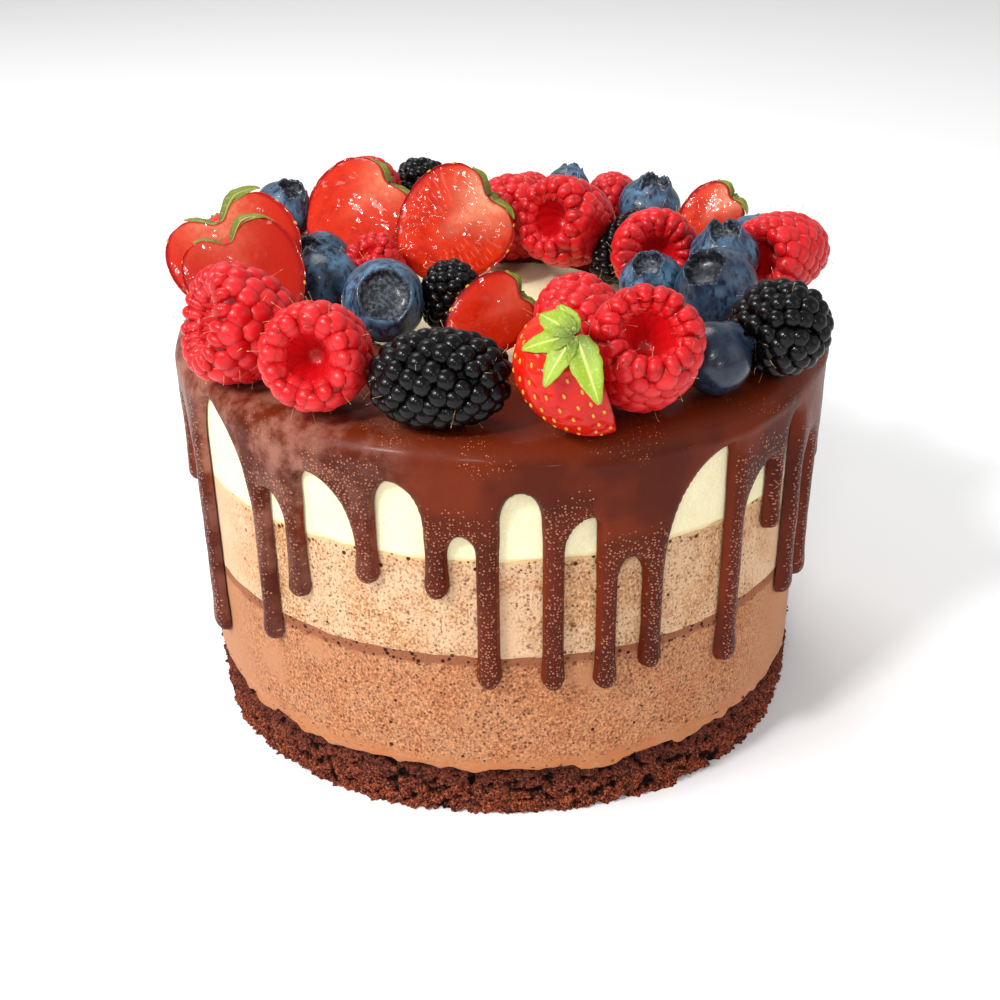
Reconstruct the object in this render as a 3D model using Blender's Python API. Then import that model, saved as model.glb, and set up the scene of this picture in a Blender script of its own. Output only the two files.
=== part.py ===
"""A triple chocolate mousse cake with a chocolate drip glaze and a ring of fresh berries.

Units are metres and +Z is up. The origin is the middle of the sponge's underside. The front is -Y.
Angles round the cake are in degrees from the front and grow towards +X.

From the bottom the cake is a chocolate sponge, a dark, a milk and a white chocolate mousse, the
glaze, which is a ring on the top that runs over the edge in drips, and the fruit. Each is a solid
of its own, and a small gap keeps neighbours apart.
"""

import math
import random
from collections import namedtuple

import bmesh
import bpy
import numpy as np
from mathutils import Matrix, Vector

# Driving sizes of the cake
CAKE_RADIUS = 0.080
SPONGE_RADIUS = 0.0795
SPONGE_HEIGHT = 0.0185
DARK_HEIGHT = 0.0320
MILK_HEIGHT = 0.0255
WHITE_HEIGHT = 0.0260
GAP = 0.0003
CAKE_SIDES = 60

# Sponge: its side is set in by more and more towards the front, and by more at its foot
CRUMB_COLUMNS = 80
CRUMB_ROWS = 4
CRUMB_DEPTH = 0.0011
SPONGE_TAPER = 0.0006
SPONGE_SET_IN = 0.0022
SPONGE_FOOT_SET_IN = 0.0050

# Glaze
GLAZE_TOP_THICKNESS = 0.0022
GLAZE_SIDE_THICKNESS = 0.0026
DRIP_THICKNESS = 0.0027
GLAZE_LIP = 0.0009
GLAZE_SHOULDER = 0.0060
GLAZE_HOLE_RADIUS = 0.0385
GLAZE_HOLE_SHIFT = 0.004
GLAZE_HOLE_WAVE = 0.0015
GLAZE_HOLE_LOBES = (5, 2, 0.6)
GLAZE_HOLE_SLOPE = 0.003
DRIP_SIDE_STEP = 0.00025
ARCH_STEEPNESS = 1.6
ARCH_INNER_SHARE = 0.7
ARCH_THICKNESS = 0.0018
NECK_SHARE = 0.35

# The four columns of a drip: the share of its half width, the height over its tip as a share of its
# width, and the thickness at its lower edge
DRIP_COLUMNS = (
    (-1, 0.42, GLAZE_LIP),
    (-0.45, 0.09, DRIP_THICKNESS),
    (0.45, 0.09, DRIP_THICKNESS),
    (1, 0.42, GLAZE_LIP),
)

# Fruit
BERRY_SIDES = 14
BLUEBERRY_SIDES = 12
DRUPELET_RELIEF = 0.055
CROWN_RELIEF = 0.10
LEAVES = 4
LEAF_THICKNESS = 0.0006
LEAF_LIFT = 0.12
LEAF_WAVE = 0.0004
CALYX_FAN = (0.60, 1.40)
CUT_THICKNESS = 0.80
SHARP_ANGLE = 50

# Settling of the fruit against its neighbours
SETTLE_ROUNDS = 60
SETTLE_PUSH = 0.3
SETTLE_PULL = 0.04
SQUASH = 0.0014
CONTACT_DIRECTIONS = 260
LEAST_LIFT = 0.0003

MILK_BOTTOM = SPONGE_HEIGHT + DARK_HEIGHT
WHITE_BOTTOM = MILK_BOTTOM + MILK_HEIGHT
CAKE_TOP = WHITE_BOTTOM + WHITE_HEIGHT
GLAZE_TOP = CAKE_TOP + GAP + GLAZE_TOP_THICKNESS

Drip = namedtuple("Drip", "angle tip width arch_at arch_top")
Finish = namedtuple("Finish", "colour roughness")
Fruit = namedtuple(
    "Fruit",
    "name kind at radius length face tilt cut_face cut_tilt thickness",
    defaults=(0, 0, CUT_THICKNESS),
)

# Each drip has its angle, the height of its tip and its width. The arch to its right peaks at a
# share of the way to the next drip, at a height of its own.
FRONT_DRIPS = (
    Drip(-80, 0.063, 0.0062, 0.50, 0.092),
    Drip(-64, 0.030, 0.0068, 0.35, 0.1000),
    Drip(-43.1, 0.043, 0.0049, 0.20, 0.085),
    Drip(-35.5, 0.059, 0.0049, 0.20, 0.093),
    Drip(-21.9, 0.068, 0.0049, 0.35, 0.0945),
    Drip(-10.5, 0.0665, 0.0049, 0.50, 0.0825),
    Drip(-2.5, 0.043, 0.0050, 0.50, 0.093),
    Drip(7.8, 0.042, 0.0048, 0.80, 0.086),
    Drip(16.5, 0.0405, 0.0048, 0.42, 0.0745),
    Drip(24.4, 0.0435, 0.0049, 0.92, 0.0957),
    Drip(40.8, 0.0365, 0.0056, 0.88, 0.087),
    Drip(51.2, 0.067, 0.0047, 0.60, 0.095),
    Drip(60, 0.0425, 0.0060, 0.50, 0.084),
    Drip(70, 0.040, 0.0062, 0.50, 0.080),
    Drip(80, 0.066, 0.0062, 0.50, 0.090),
)
BACK_DRIPS = 16
BACK_TIPS = (0.034, 0.074)
BACK_WIDTHS = (0.0052, 0.0074)
BACK_ARCHES = (0.080, 0.096)
BACK_ARCH_PLACES = (0.25, 0.75)
BACK_SHIFT = 1.6

FINISHES = {
    "sponge": Finish((0.075, 0.024, 0.014), 0.95),
    "dark_mousse": Finish((0.42, 0.17, 0.085), 0.75),
    "milk_mousse": Finish((0.66, 0.42, 0.24), 0.75),
    "white_mousse": Finish((0.86, 0.78, 0.56), 0.6),
    "glaze": Finish((0.095, 0.026, 0.016), 0.32),
    "raspberry": Finish((0.62, 0.012, 0.018), 0.35),
    "bramble": Finish((0.012, 0.011, 0.016), 0.2),
    "blueberry": Finish((0.045, 0.075, 0.14), 0.45),
    "strawberry": Finish((0.62, 0.018, 0.008), 0.2),
    "leaf": Finish((0.22, 0.33, 0.05), 0.55),
}

# Each fruit has its centre as a place on the cake and a height over the glaze, its half width and
# its length. Face and tilt say which way its open, crown or stem end points: an angle round the
# cake and degrees above the horizon. A halved strawberry also says where its cut side faces, and
# may say how thick the half is, as a share of its half width.
FRUITS = (
    Fruit("raspberry_01", "raspberry", (-0.0575, -0.0440, 0.0125), 0.0133, 0.0225, -62, 20),
    Fruit("raspberry_02", "raspberry", (-0.0385, -0.0610, 0.0120), 0.0116, 0.0220, -12, 18),
    Fruit("raspberry_03", "raspberry", (0.0300, -0.0660, 0.0130), 0.0121, 0.0260, 6, 48),
    Fruit("raspberry_04", "raspberry", (0.0170, -0.0420, 0.0105), 0.0100, 0.0210, 170, 10),
    Fruit("raspberry_05", "raspberry", (-0.0350, 0.0610, 0.0120), 0.0095, 0.0220, 180, -50),
    Fruit("raspberry_06", "raspberry", (-0.0325, 0.0050, 0.0080), 0.0072, 0.0160, -60, 60),
    Fruit("raspberry_07", "raspberry", (0.0035, 0.0430, 0.0112), 0.0102, 0.0210, 180, -80),
    Fruit("raspberry_08", "raspberry", (0.0245, 0.0225, 0.0118), 0.0118, 0.0250, -42, 22),
    Fruit("raspberry_09", "raspberry", (0.0335, 0.0690, 0.0082), 0.0072, 0.0160, 160, -20),
    Fruit("raspberry_10", "raspberry", (0.0400, 0.0100, 0.0114), 0.0112, 0.0160, 4, 8),
    Fruit("raspberry_11", "raspberry", (0.0700, 0.0060, 0.0112), 0.0105, 0.0240, -48, 4),
    Fruit("raspberry_12", "raspberry", (0.0090, 0.0670, 0.0080), 0.0075, 0.0180, 180, -20),
    Fruit("bramble_01", "bramble", (-0.0125, -0.0710, 0.0105), 0.0104, 0.0310, 84, 4),
    Fruit("bramble_02", "bramble", (-0.0165, -0.0190, 0.0095), 0.0074, 0.0190, 30, 70),
    Fruit("bramble_03", "bramble", (-0.0240, 0.0720, 0.0110), 0.0082, 0.0205, -80, 30),
    Fruit("bramble_04", "bramble", (0.0305, 0.0175, 0.0108), 0.0066, 0.0240, 132, 35),
    Fruit("bramble_05", "bramble", (0.0610, -0.0480, 0.0115), 0.0108, 0.0240, 25, 22),
    Fruit("blueberry_01", "blueberry", (-0.0430, -0.0030, 0.0090), 0.0093, 0.0160, 180, 70),
    Fruit("blueberry_02", "blueberry", (-0.0240, -0.0215, 0.0105), 0.0100, 0.0175, 8, 28),
    Fruit("blueberry_03", "blueberry", (-0.0590, 0.0410, 0.0140), 0.0082, 0.0150, 60, 58),
    Fruit("blueberry_04", "blueberry", (-0.0470, 0.0140, 0.0080), 0.0078, 0.0140, -40, 40),
    Fruit("blueberry_05", "blueberry", (0.0200, 0.0570, 0.0150), 0.0062, 0.0115, 160, 50),
    Fruit("blueberry_06", "blueberry", (0.0440, 0.0580, 0.0092), 0.0090, 0.0155, 40, 74),
    Fruit("blueberry_07", "blueberry", (0.0380, -0.0040, 0.0083), 0.0080, 0.0140, -25, 62),
    Fruit("blueberry_08", "blueberry", (0.0570, 0.0020, 0.0115), 0.0088, 0.0155, -20, 76),
    Fruit("blueberry_09", "blueberry", (0.0530, -0.0150, 0.0105), 0.0102, 0.0180, -42, 50),
    Fruit("blueberry_10", "blueberry", (0.0480, -0.0550, 0.0083), 0.0082, 0.0150, 120, 30),
    Fruit("blueberry_11", "blueberry", (-0.0660, 0.0240, 0.0085), 0.0084, 0.0150, -120, 50),
    Fruit("blueberry_12", "blueberry", (-0.0040, 0.0670, 0.0072), 0.0070, 0.0125, 170, 40),
    Fruit("blueberry_13", "blueberry", (0.0690, 0.0280, 0.0074), 0.0072, 0.0130, 120, 40),
    Fruit("strawberry_01", "strawberry", (0.0112, -0.0782, 0.0125), 0.0122, 0.0295, -65, 69, 103, 14, 1.22),
    Fruit("strawberry_02", "strawberry", (-0.0035, -0.0310, 0.0090), 0.0090, 0.0220, 112, 28, 65, 35),
    Fruit("strawberry_03", "strawberry", (-0.0640, -0.0070, 0.0145), 0.0165, 0.0320, -135, 45, 10, 35),
    Fruit("strawberry_04", "strawberry", (-0.0600, -0.0205, 0.0130), 0.0140, 0.0290, -135, 45, 14, 35),
    Fruit("strawberry_05", "strawberry", (-0.0410, 0.0415, 0.0110), 0.0145, 0.0290, 116, 31, -14, 36),
    Fruit("strawberry_06", "strawberry", (-0.0125, 0.0255, 0.0130), 0.0150, 0.0310, 106, 35, 4, 22),
    Fruit("strawberry_07", "strawberry", (0.0590, 0.0430, 0.0095), 0.0082, 0.0200, 95, 40, -10, 26),
    Fruit("strawberry_08", "strawberry", (-0.0590, 0.0440, 0.0035), 0.0075, 0.0210, 150, 0, 0, -88),
)

# The lines from a strawberry's stem to a leaf's tip and to the notch between two leaves, as shares
# of its half width and length. One strawberry has lost its leaves.
LEAF_LINES = (
    ((0.10, 0.47), (0.62, 0.47), (0.95, 0.34)),
    ((0.10, 0.47), (0.28, 0.48), (0.45, 0.47)),
)
HULLED = "strawberry_08"

# Turned profiles, as shares of the half width and of the length, from the open or stem end to the
# tip. The first and last numbers are the heights of the two poles.
PROFILES = {
    "raspberry": (0.02, ((0.30, 0.06), (0.46, 0.36), (0.70, 0.50), (0.93, 0.40), (1.00, 0.14),
                         (0.90, -0.16), (0.58, -0.42)), -0.50),
    "bramble": (0.47, ((0.42, 0.45), (0.78, 0.33), (0.97, 0.13), (1.00, -0.09), (0.82, -0.31),
                          (0.44, -0.46)), -0.50),
    "blueberry": (0.34, ((0.30, 0.36), (0.44, 0.50), (0.58, 0.42), (0.93, 0.20), (1.00, -0.05),
                         (0.84, -0.32), (0.46, -0.47)), -0.50),
    "strawberry": (0.40, ((0.40, 0.46), (0.80, 0.40), (1.00, 0.20), (0.96, -0.06), (0.74, -0.28),
                          (0.40, -0.44)), -0.50),
}


def around(angle, radius, height):
    """The point at this angle round the cake, in radians from the front."""
    return Vector((radius * math.sin(angle), -radius * math.cos(angle), height))


def heading(angle, tilt):
    """The unit direction at this angle round the cake and this many degrees above the horizon."""
    angle, tilt = math.radians(angle), math.radians(tilt)
    return Vector((math.sin(angle) * math.cos(tilt), -math.cos(angle) * math.cos(tilt), math.sin(tilt)))


def clear_scene():
    for item in list(bpy.data.objects):
        bpy.data.objects.remove(item)


def make_materials():
    """One Principled material for each finish."""
    made = {}
    for name, finish in FINISHES.items():
        material = bpy.data.materials.new(name)
        material.use_nodes = True
        shader = material.node_tree.nodes["Principled BSDF"]
        shader.inputs["Base Color"].default_value = (*finish.colour, 1)
        shader.inputs["Roughness"].default_value = finish.roughness
        shader.inputs["Metallic"].default_value = 0
        made[name] = material
    return made


def add_object(name, bm, material, place=(0, 0, 0)):
    """Turns a bmesh into a named, smooth shaded object at its place."""
    bmesh.ops.recalc_face_normals(bm, faces=bm.faces)
    mesh = bpy.data.meshes.new(name)
    bm.to_mesh(mesh)
    bm.free()
    mesh.shade_smooth()
    mesh.set_sharp_from_angle(angle=math.radians(SHARP_ANGLE))
    mesh.materials.append(material)
    made = bpy.data.objects.new(name, mesh)
    made.location = place
    bpy.context.scene.collection.objects.link(made)
    return made


def bridge_rings(bm, rings):
    """Faces between each closed ring of vertices and the next."""
    for upper, lower in zip(rings, rings[1:]):
        count = len(upper)
        for i in range(count):
            j = (i + 1) % count
            bm.faces.new((upper[i], lower[i], lower[j], upper[j]))


def add_mousse(name, low, high, material):
    """A plain round layer of mousse between two heights."""
    bm = bmesh.new()
    bmesh.ops.create_cone(
        bm, cap_ends=True, segments=CAKE_SIDES, radius1=CAKE_RADIUS, radius2=CAKE_RADIUS, depth=high - low
    )
    return add_object(name, bm, material, (0, 0, (low + high) / 2))


def sponge_side(angle, share):
    """The sponge's radius at this angle and this share of the way from its top to its foot."""
    set_in = SPONGE_SET_IN + (SPONGE_FOOT_SET_IN - SPONGE_SET_IN) * share
    return SPONGE_RADIUS - SPONGE_TAPER * share - set_in * max(0, math.cos(angle)) ** 3


def add_sponge(material):
    """The sponge: a disc, narrower in front and at its foot, whose side is torn into crumbs."""
    rng = random.Random(11)
    top = SPONGE_HEIGHT - GAP
    bm = bmesh.new()
    rings = []
    for row in range(CRUMB_ROWS + 1):
        share = row / CRUMB_ROWS
        edge = row in (0, CRUMB_ROWS)
        ring = []
        for column in range(CRUMB_COLUMNS):
            angle = math.tau * (column + 0.5 * (row % 2)) / CRUMB_COLUMNS
            radius = sponge_side(angle, share) + rng.uniform(-1, 1) * CRUMB_DEPTH
            height = top * (1 - share) + (0 if edge else rng.uniform(-1, 1) * CRUMB_DEPTH)
            ring.append(bm.verts.new(around(angle, radius, height)))
        rings.append(ring)
    bridge_rings(bm, rings)
    bm.faces.new(rings[0])
    bm.faces.new(rings[-1])
    return add_object("sponge", bm, material)


def back_drips():
    """The drips behind, spread evenly with a seeded wobble, like those in front."""
    rng = random.Random(5)
    first, last = FRONT_DRIPS[-1].angle, FRONT_DRIPS[0].angle + 360
    step = (last - first) / (BACK_DRIPS + 1)
    return [
        Drip(
            first + step * (i + 1) + rng.uniform(-BACK_SHIFT, BACK_SHIFT),
            rng.uniform(*BACK_TIPS),
            rng.uniform(*BACK_WIDTHS),
            rng.uniform(*BACK_ARCH_PLACES),
            rng.uniform(*BACK_ARCHES),
        )
        for i in range(BACK_DRIPS)
    ]


def glaze_columns():
    """(angle, lower edge, thickness) of the glaze's side, column by column.

    A drip has four columns, low in the middle and thin at the sides. The gap to the next one is
    an arch of two half ellipses that meet at its peak."""
    drips = [*FRONT_DRIPS, *back_drips()]
    columns = []
    for drip, after in zip(drips, [*drips[1:], drips[0]._replace(angle=drips[0].angle + 360)]):
        centre, half = math.radians(drip.angle), drip.width / 2 / CAKE_RADIUS
        for share, rise, thickness in DRIP_COLUMNS:
            columns.append((centre + half * share, drip.tip + drip.width * rise, thickness))
        start = centre + half + DRIP_SIDE_STEP / CAKE_RADIUS
        end = math.radians(after.angle) - (after.width / 2 + DRIP_SIDE_STEP) / CAKE_RADIUS
        peak = start + (end - start) * drip.arch_at
        inner = ARCH_INNER_SHARE
        for side, out in ((start, 1), (start, inner), (end, 0), (end, inner), (end, 1)):
            drop = ARCH_STEEPNESS * abs(side - peak) * CAKE_RADIUS
            height = drip.arch_top - drop * (1 - math.sqrt(1 - out * out))
            columns.append((peak + (side - peak) * out, height, GLAZE_LIP))
    return columns


def add_glaze(material):
    """The chocolate glaze: a ring on top, a round shoulder, and drips down the side."""
    side, top = CAKE_RADIUS + GAP, CAKE_TOP + GAP
    shoulder = GLAZE_SHOULDER
    outer = side + GLAZE_SIDE_THICKNESS
    neck_top = GLAZE_TOP - shoulder
    bend = shoulder * (1 - math.sqrt(0.5))
    fast, slow, turn = GLAZE_HOLE_LOBES
    rings = [[] for _ in range(9)]
    bm = bmesh.new()
    for angle, low, thickness in glaze_columns():
        wave = GLAZE_HOLE_WAVE * math.sin(fast * angle) * math.cos(slow * angle + turn)
        hole = GLAZE_HOLE_RADIUS - GLAZE_HOLE_SHIFT * math.cos(angle) + wave
        neck = low + (neck_top - low) * NECK_SHARE
        body = max(thickness, ARCH_THICKNESS)
        section = (
            (hole, top),
            (hole + GLAZE_HOLE_SLOPE, GLAZE_TOP),
            (outer - shoulder, GLAZE_TOP),
            (outer - bend, GLAZE_TOP - bend),
            (outer, neck_top),
            (side + body, neck),
            (side + thickness, low),
            (side, low),
            (side, top),
        )
        for ring, (radius, height) in zip(rings, section):
            ring.append(bm.verts.new(around(angle, radius, height)))
    bridge_rings(bm, [*rings, rings[0]])
    return add_object("chocolate_glaze", bm, material)


def turned_points(kind, radius, length, sides, relief):
    """Points and faces of a berry turned about Z, its open or stem end up.

    Relief moves every second point of a ring in and out, and the next ring the other way, which
    gives the round knobs of a raspberry or bramble or the points of a blueberry's crown."""
    top, profile, bottom = PROFILES[kind]
    points = [(0, 0, top * length)]
    for row, (across, along) in enumerate(profile):
        knob = relief if kind != "blueberry" else (CROWN_RELIEF if row == 1 else 0)
        for i in range(sides):
            turn = math.tau * i / sides
            sign = 1 if (i + row) % 2 else -1
            r = radius * (across + knob * sign)
            z = length * (along + (knob * sign * 0.5 if kind == "blueberry" else 0))
            points.append((r * math.sin(turn), -r * math.cos(turn), z))
    points.append((0, 0, bottom * length))
    last = len(points) - 1
    faces = []
    for i in range(sides):
        j = (i + 1) % sides
        faces.append((0, 1 + i, 1 + j))
        for row in range(len(profile) - 1):
            a, b = 1 + row * sides, 1 + (row + 1) * sides
            faces.append((a + i, b + i, b + j))
            faces.append((a + i, b + j, a + j))
        faces.append((last, last - sides + j, last - sides + i))
    return np.array(points), faces


def halve(points, fruit):
    """A strawberry's points with those past its cut, on the -Y side, pressed onto the cut, and the
    middle of the half moved to the origin."""
    half = points * (1, fruit.thickness, 1)
    half[:, 1] = np.maximum(half[:, 1], 0) - fruit.thickness * fruit.radius / 2
    return half


def calyx_points(radius, length):
    """A strawberry's leaves: a thin wavy star that hugs its stem end, halved like the berry.

    Its leaves fan over a half turn, rise a little from the stem and fold down over the shoulder."""
    spokes = 2 * LEAVES + 1
    fan_start, fan_end = CALYX_FAN
    points, faces = [], []
    for lift in (0, LEAF_THICKNESS):
        for row in range(3):
            for i in range(spokes):
                turn = math.pi * (fan_start + (fan_end - fan_start) * i / (spokes - 1))
                across, along = LEAF_LINES[(i + 1) % 2][row]
                wave = LEAF_WAVE * math.sin(2.5 * i + 2 * row)
                r = (radius + LEAF_LIFT * radius + lift) * across
                z = length * along + LEAF_LIFT * radius + lift + wave
                points.append((r * math.sin(turn), -r * math.cos(turn), z))
    layer = 3 * spokes

    def quad(a, b, c, d):
        faces.extend(((a, b, c), (a, c, d)))

    for base in (0, layer):
        for row in range(2):
            for i in range(spokes - 1):
                a = base + row * spokes + i
                quad(a, a + spokes, a + spokes + 1, a + 1)
    border = [*range(spokes), 2 * spokes - 1, *range(3 * spokes - 1, 2 * spokes - 1, -1), spokes]
    for a, b in zip(border, [*border[1:], border[0]]):
        quad(a, b, b + layer, a + layer)
    return np.array(points), faces


def turn_of(fruit):
    """The rotation that points a fruit's +Z along its face and tilt, and -Y out of its cut side."""
    up = heading(fruit.face, fruit.tilt)
    cut = heading(fruit.cut_face, fruit.cut_tilt) if fruit.kind == "strawberry" else Vector((0, 0, 1))
    if abs(up.dot(cut)) > 0.95:
        cut = Vector((0, -1, 0))
    back = -(cut - up * cut.dot(up)).normalized()
    side = back.cross(up)
    return Matrix((side, back, up)).transposed()


def shape_fruits():
    """Name, points about the centre, faces and centre of every fruit, and which pieces go together."""
    pieces, centres = [], []
    for fruit in FRUITS:
        sides = BLUEBERRY_SIDES if fruit.kind == "blueberry" else BERRY_SIDES
        relief = DRUPELET_RELIEF if fruit.kind in ("raspberry", "bramble") else 0
        points, faces = turned_points(fruit.kind, fruit.radius, fruit.length, sides, relief)
        if fruit.kind == "strawberry":
            points = halve(points, fruit)
        turn = np.array(turn_of(fruit))
        group = len(centres)
        centres.append(np.array(fruit.at) + (0, 0, GLAZE_TOP))
        pieces.append([fruit.name, points @ turn.T, faces, group, fruit.kind])
        if fruit.kind == "strawberry" and fruit.name != HULLED:
            points, faces = calyx_points(fruit.radius, fruit.length)
            pieces.append([fruit.name + "_calyx", halve(points, fruit) @ turn.T, faces, group, "leaf"])
    return pieces, centres


def even_directions(count):
    """Unit directions spread evenly over a sphere on a spiral."""
    k = np.arange(count) + 0.5
    z, turn = 1 - 2 * k / count, k * math.pi * (1 + math.sqrt(5))
    flat = np.sqrt(1 - z * z)
    return np.stack([flat * np.cos(turn), flat * np.sin(turn), z], 1)


def nearest_wall(first, second, between, directions):
    """How deep two shapes reach into each other along the direction that parts them best.

    Returns that depth, the direction, and how far the first shape reaches along it."""
    reach = (first @ directions.T).max(0)
    back = (second @ -directions.T).max(0)
    depth = reach + back - directions @ between
    best = int(depth.argmin())
    return depth[best], directions[best], reach[best]


def settle(pieces, centres):
    """Nudges the fruits apart from the places they were set at, until they reach into each other
    by no more than soft fruit gives way, and lifts them clear of the glaze."""
    directions = even_directions(CONTACT_DIRECTIONS)
    clouds = [np.concatenate([p[1] for p in pieces if p[3] == g]) for g in range(len(centres))]
    set_at = [centre.copy() for centre in centres]
    reach = [np.linalg.norm(cloud, axis=1).max() for cloud in clouds]
    floor = GLAZE_TOP + LEAST_LIFT
    for _ in range(SETTLE_ROUNDS):
        for i in range(len(centres)):
            for j in range(i + 1, len(centres)):
                between = centres[j] - centres[i]
                if np.linalg.norm(between) > reach[i] + reach[j]:
                    continue
                depth, direction, _ = nearest_wall(clouds[i], clouds[j], between, directions)
                if depth > SQUASH:
                    centres[i] -= direction * (depth - SQUASH) * SETTLE_PUSH
                    centres[j] += direction * (depth - SQUASH) * SETTLE_PUSH
        for i, cloud in enumerate(clouds):
            centres[i] += (set_at[i] - centres[i]) * SETTLE_PULL
            centres[i][2] = max(centres[i][2], floor - cloud[:, 2].min())
    return centres


def press(pieces, centres):
    """Flattens each fruit a little where it still touches its neighbour, so that each pair of
    pieces keeps a flat wall and a gap between them."""
    directions = even_directions(CONTACT_DIRECTIONS)
    for i, first in enumerate(pieces):
        for second in pieces[i + 1 :]:
            if first[3] == second[3]:
                continue
            between = centres[second[3]] - centres[first[3]]
            depth, direction, reach = nearest_wall(first[1], second[1], between, directions)
            if depth <= -GAP:
                continue
            wall = reach - (depth + GAP) / 2
            push(first, direction, wall)
            push(second, -direction, direction @ between - wall - GAP)


def push(piece, direction, wall):
    """Moves a piece's points that reach beyond a wall back onto it."""
    beyond = np.maximum(piece[1] @ direction - wall, 0)
    piece[1] = piece[1] - beyond[:, None] * direction


def add_fruits(materials):
    pieces, centres = shape_fruits()
    settle(pieces, centres)
    press(pieces, centres)
    for name, points, faces, group, kind in pieces:
        bm = bmesh.new()
        corners = [bm.verts.new(point) for point in points]
        for face in faces:
            bm.faces.new([corners[i] for i in face])
        add_object(name, bm, materials[kind], centres[group])


def main():
    clear_scene()
    materials = make_materials()
    add_sponge(materials["sponge"])
    add_mousse("dark_mousse", SPONGE_HEIGHT, MILK_BOTTOM - GAP, materials["dark_mousse"])
    add_mousse("milk_mousse", MILK_BOTTOM, WHITE_BOTTOM - GAP, materials["milk_mousse"])
    add_mousse("white_mousse", WHITE_BOTTOM, CAKE_TOP, materials["white_mousse"])
    add_glaze(materials["glaze"])
    add_fruits(materials)


main()
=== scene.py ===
"""The looks of a triple chocolate mousse cake with a chocolate drip glaze and fresh berries.

Every piece is a surface worked out with numpy in the row frame: metres, +Z up, the front at -Y and
the origin in the middle of the sponge's underside. Angles round the cake are in radians from the
front and grow towards +X, so that a point is (r sin a, -r cos a, z).
"""

import itertools
import logging
import math
import random
from dataclasses import astuple, dataclass, field

import bpy
import numpy as np
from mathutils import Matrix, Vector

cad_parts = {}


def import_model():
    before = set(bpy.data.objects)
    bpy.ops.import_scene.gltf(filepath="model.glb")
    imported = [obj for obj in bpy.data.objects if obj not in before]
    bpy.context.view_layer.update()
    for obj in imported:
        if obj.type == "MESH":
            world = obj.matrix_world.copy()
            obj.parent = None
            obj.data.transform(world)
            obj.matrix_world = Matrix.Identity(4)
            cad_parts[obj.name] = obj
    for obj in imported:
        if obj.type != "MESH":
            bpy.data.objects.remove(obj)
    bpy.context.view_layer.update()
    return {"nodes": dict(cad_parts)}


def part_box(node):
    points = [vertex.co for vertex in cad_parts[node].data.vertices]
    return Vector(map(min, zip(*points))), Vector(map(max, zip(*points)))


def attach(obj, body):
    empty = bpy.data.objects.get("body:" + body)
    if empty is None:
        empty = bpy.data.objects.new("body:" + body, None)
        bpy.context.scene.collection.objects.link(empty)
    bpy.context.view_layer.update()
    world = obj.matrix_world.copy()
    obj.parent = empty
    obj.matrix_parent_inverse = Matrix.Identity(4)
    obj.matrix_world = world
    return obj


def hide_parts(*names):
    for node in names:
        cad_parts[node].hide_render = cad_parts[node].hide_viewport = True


log = logging.getLogger("cake")

Array = np.ndarray
Colour = tuple[float, float, float]
Material = bpy.types.Material
Socket = bpy.types.NodeSocket
Input = Socket | float | tuple

MM = 0.001
CELL_FACTORS = np.array([73856093, 19349663, 83492791])
SEED_FACTOR = 7919
STIR_FACTOR, STIR_STEP = 668265261, 374761393
LAST_31_BITS = 0x7FFFFFFF
GRAIN_REACH = 0.75


@dataclass(frozen=True)
class CakeSizes:
    """The cake's driving sizes in metres, the same as the CAD part's."""

    radius: float = 0.080
    sponge_radius: float = 0.0795
    sponge_top: float = 0.0185
    milk_bottom: float = 0.0505
    white_bottom: float = 0.076
    top: float = 0.102
    gap: float = 0.0003
    glaze_top: float = 0.1045


SIZES = CakeSizes()


def srgb(red: int, green: int, blue: int) -> Colour:
    """A colour's linear values from its screen values, which run from 0 to 255."""
    shares = [value / 255 for value in (red, green, blue)]
    return tuple(s / 12.92 if s <= 0.04045 else ((s + 0.055) / 1.055) ** 2.4 for s in shares)


def around(angle: Array, radius: Array, height: Array) -> Array:
    """The points at these angles round the cake: (r sin a, -r cos a, z)."""
    angle, radius, height = np.broadcast_arrays(angle, radius, height)
    return np.stack([radius * np.sin(angle), -radius * np.cos(angle), height], -1)


def full_turn(count: int) -> Array:
    """This many evenly spread angles over one turn."""
    return np.linspace(0, math.tau, count, endpoint=False)


def unit(vectors: Array) -> Array:
    """The same directions, each with a length of 1."""
    return vectors / np.maximum(np.linalg.norm(vectors, axis=-1, keepdims=True), 1e-12)


def ease(value: Array, start: float, end: float) -> Array:
    """Runs smoothly from 0 at start to 1 at end: with t the share of the way, 3t² - 2t³."""
    share = np.clip((value - start) / (end - start), 0, 1)
    return share * share * (3 - 2 * share)


def hump(value: Array, width: float) -> Array:
    """A bell curve that is 1 at value 0 and a third at one width from it."""
    return np.exp(-((value / width) ** 2))


def cell_numbers(cells: Array, seed: int) -> Array:
    """Three repeatable numbers from 0 to 1 for each whole-numbered cell.

    The cell's coordinates are multiplied by large odd factors and added, and the sum is stirred
    three times by a shift and a multiplication whose last 31 bits are kept.

    Args:
        cells: whole numbers, three for each cell.
        seed: picks another set of numbers.

    Returns:
        An array of the same shape as cells.
    """
    mixed = (cells @ CELL_FACTORS + seed * SEED_FACTOR) & LAST_31_BITS
    drawn = []
    for _ in range(3):
        mixed = ((mixed ^ (mixed >> 15)) * STIR_FACTOR + STIR_STEP) & LAST_31_BITS
        drawn.append(mixed / LAST_31_BITS)
    return np.stack(drawn, -1)


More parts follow.
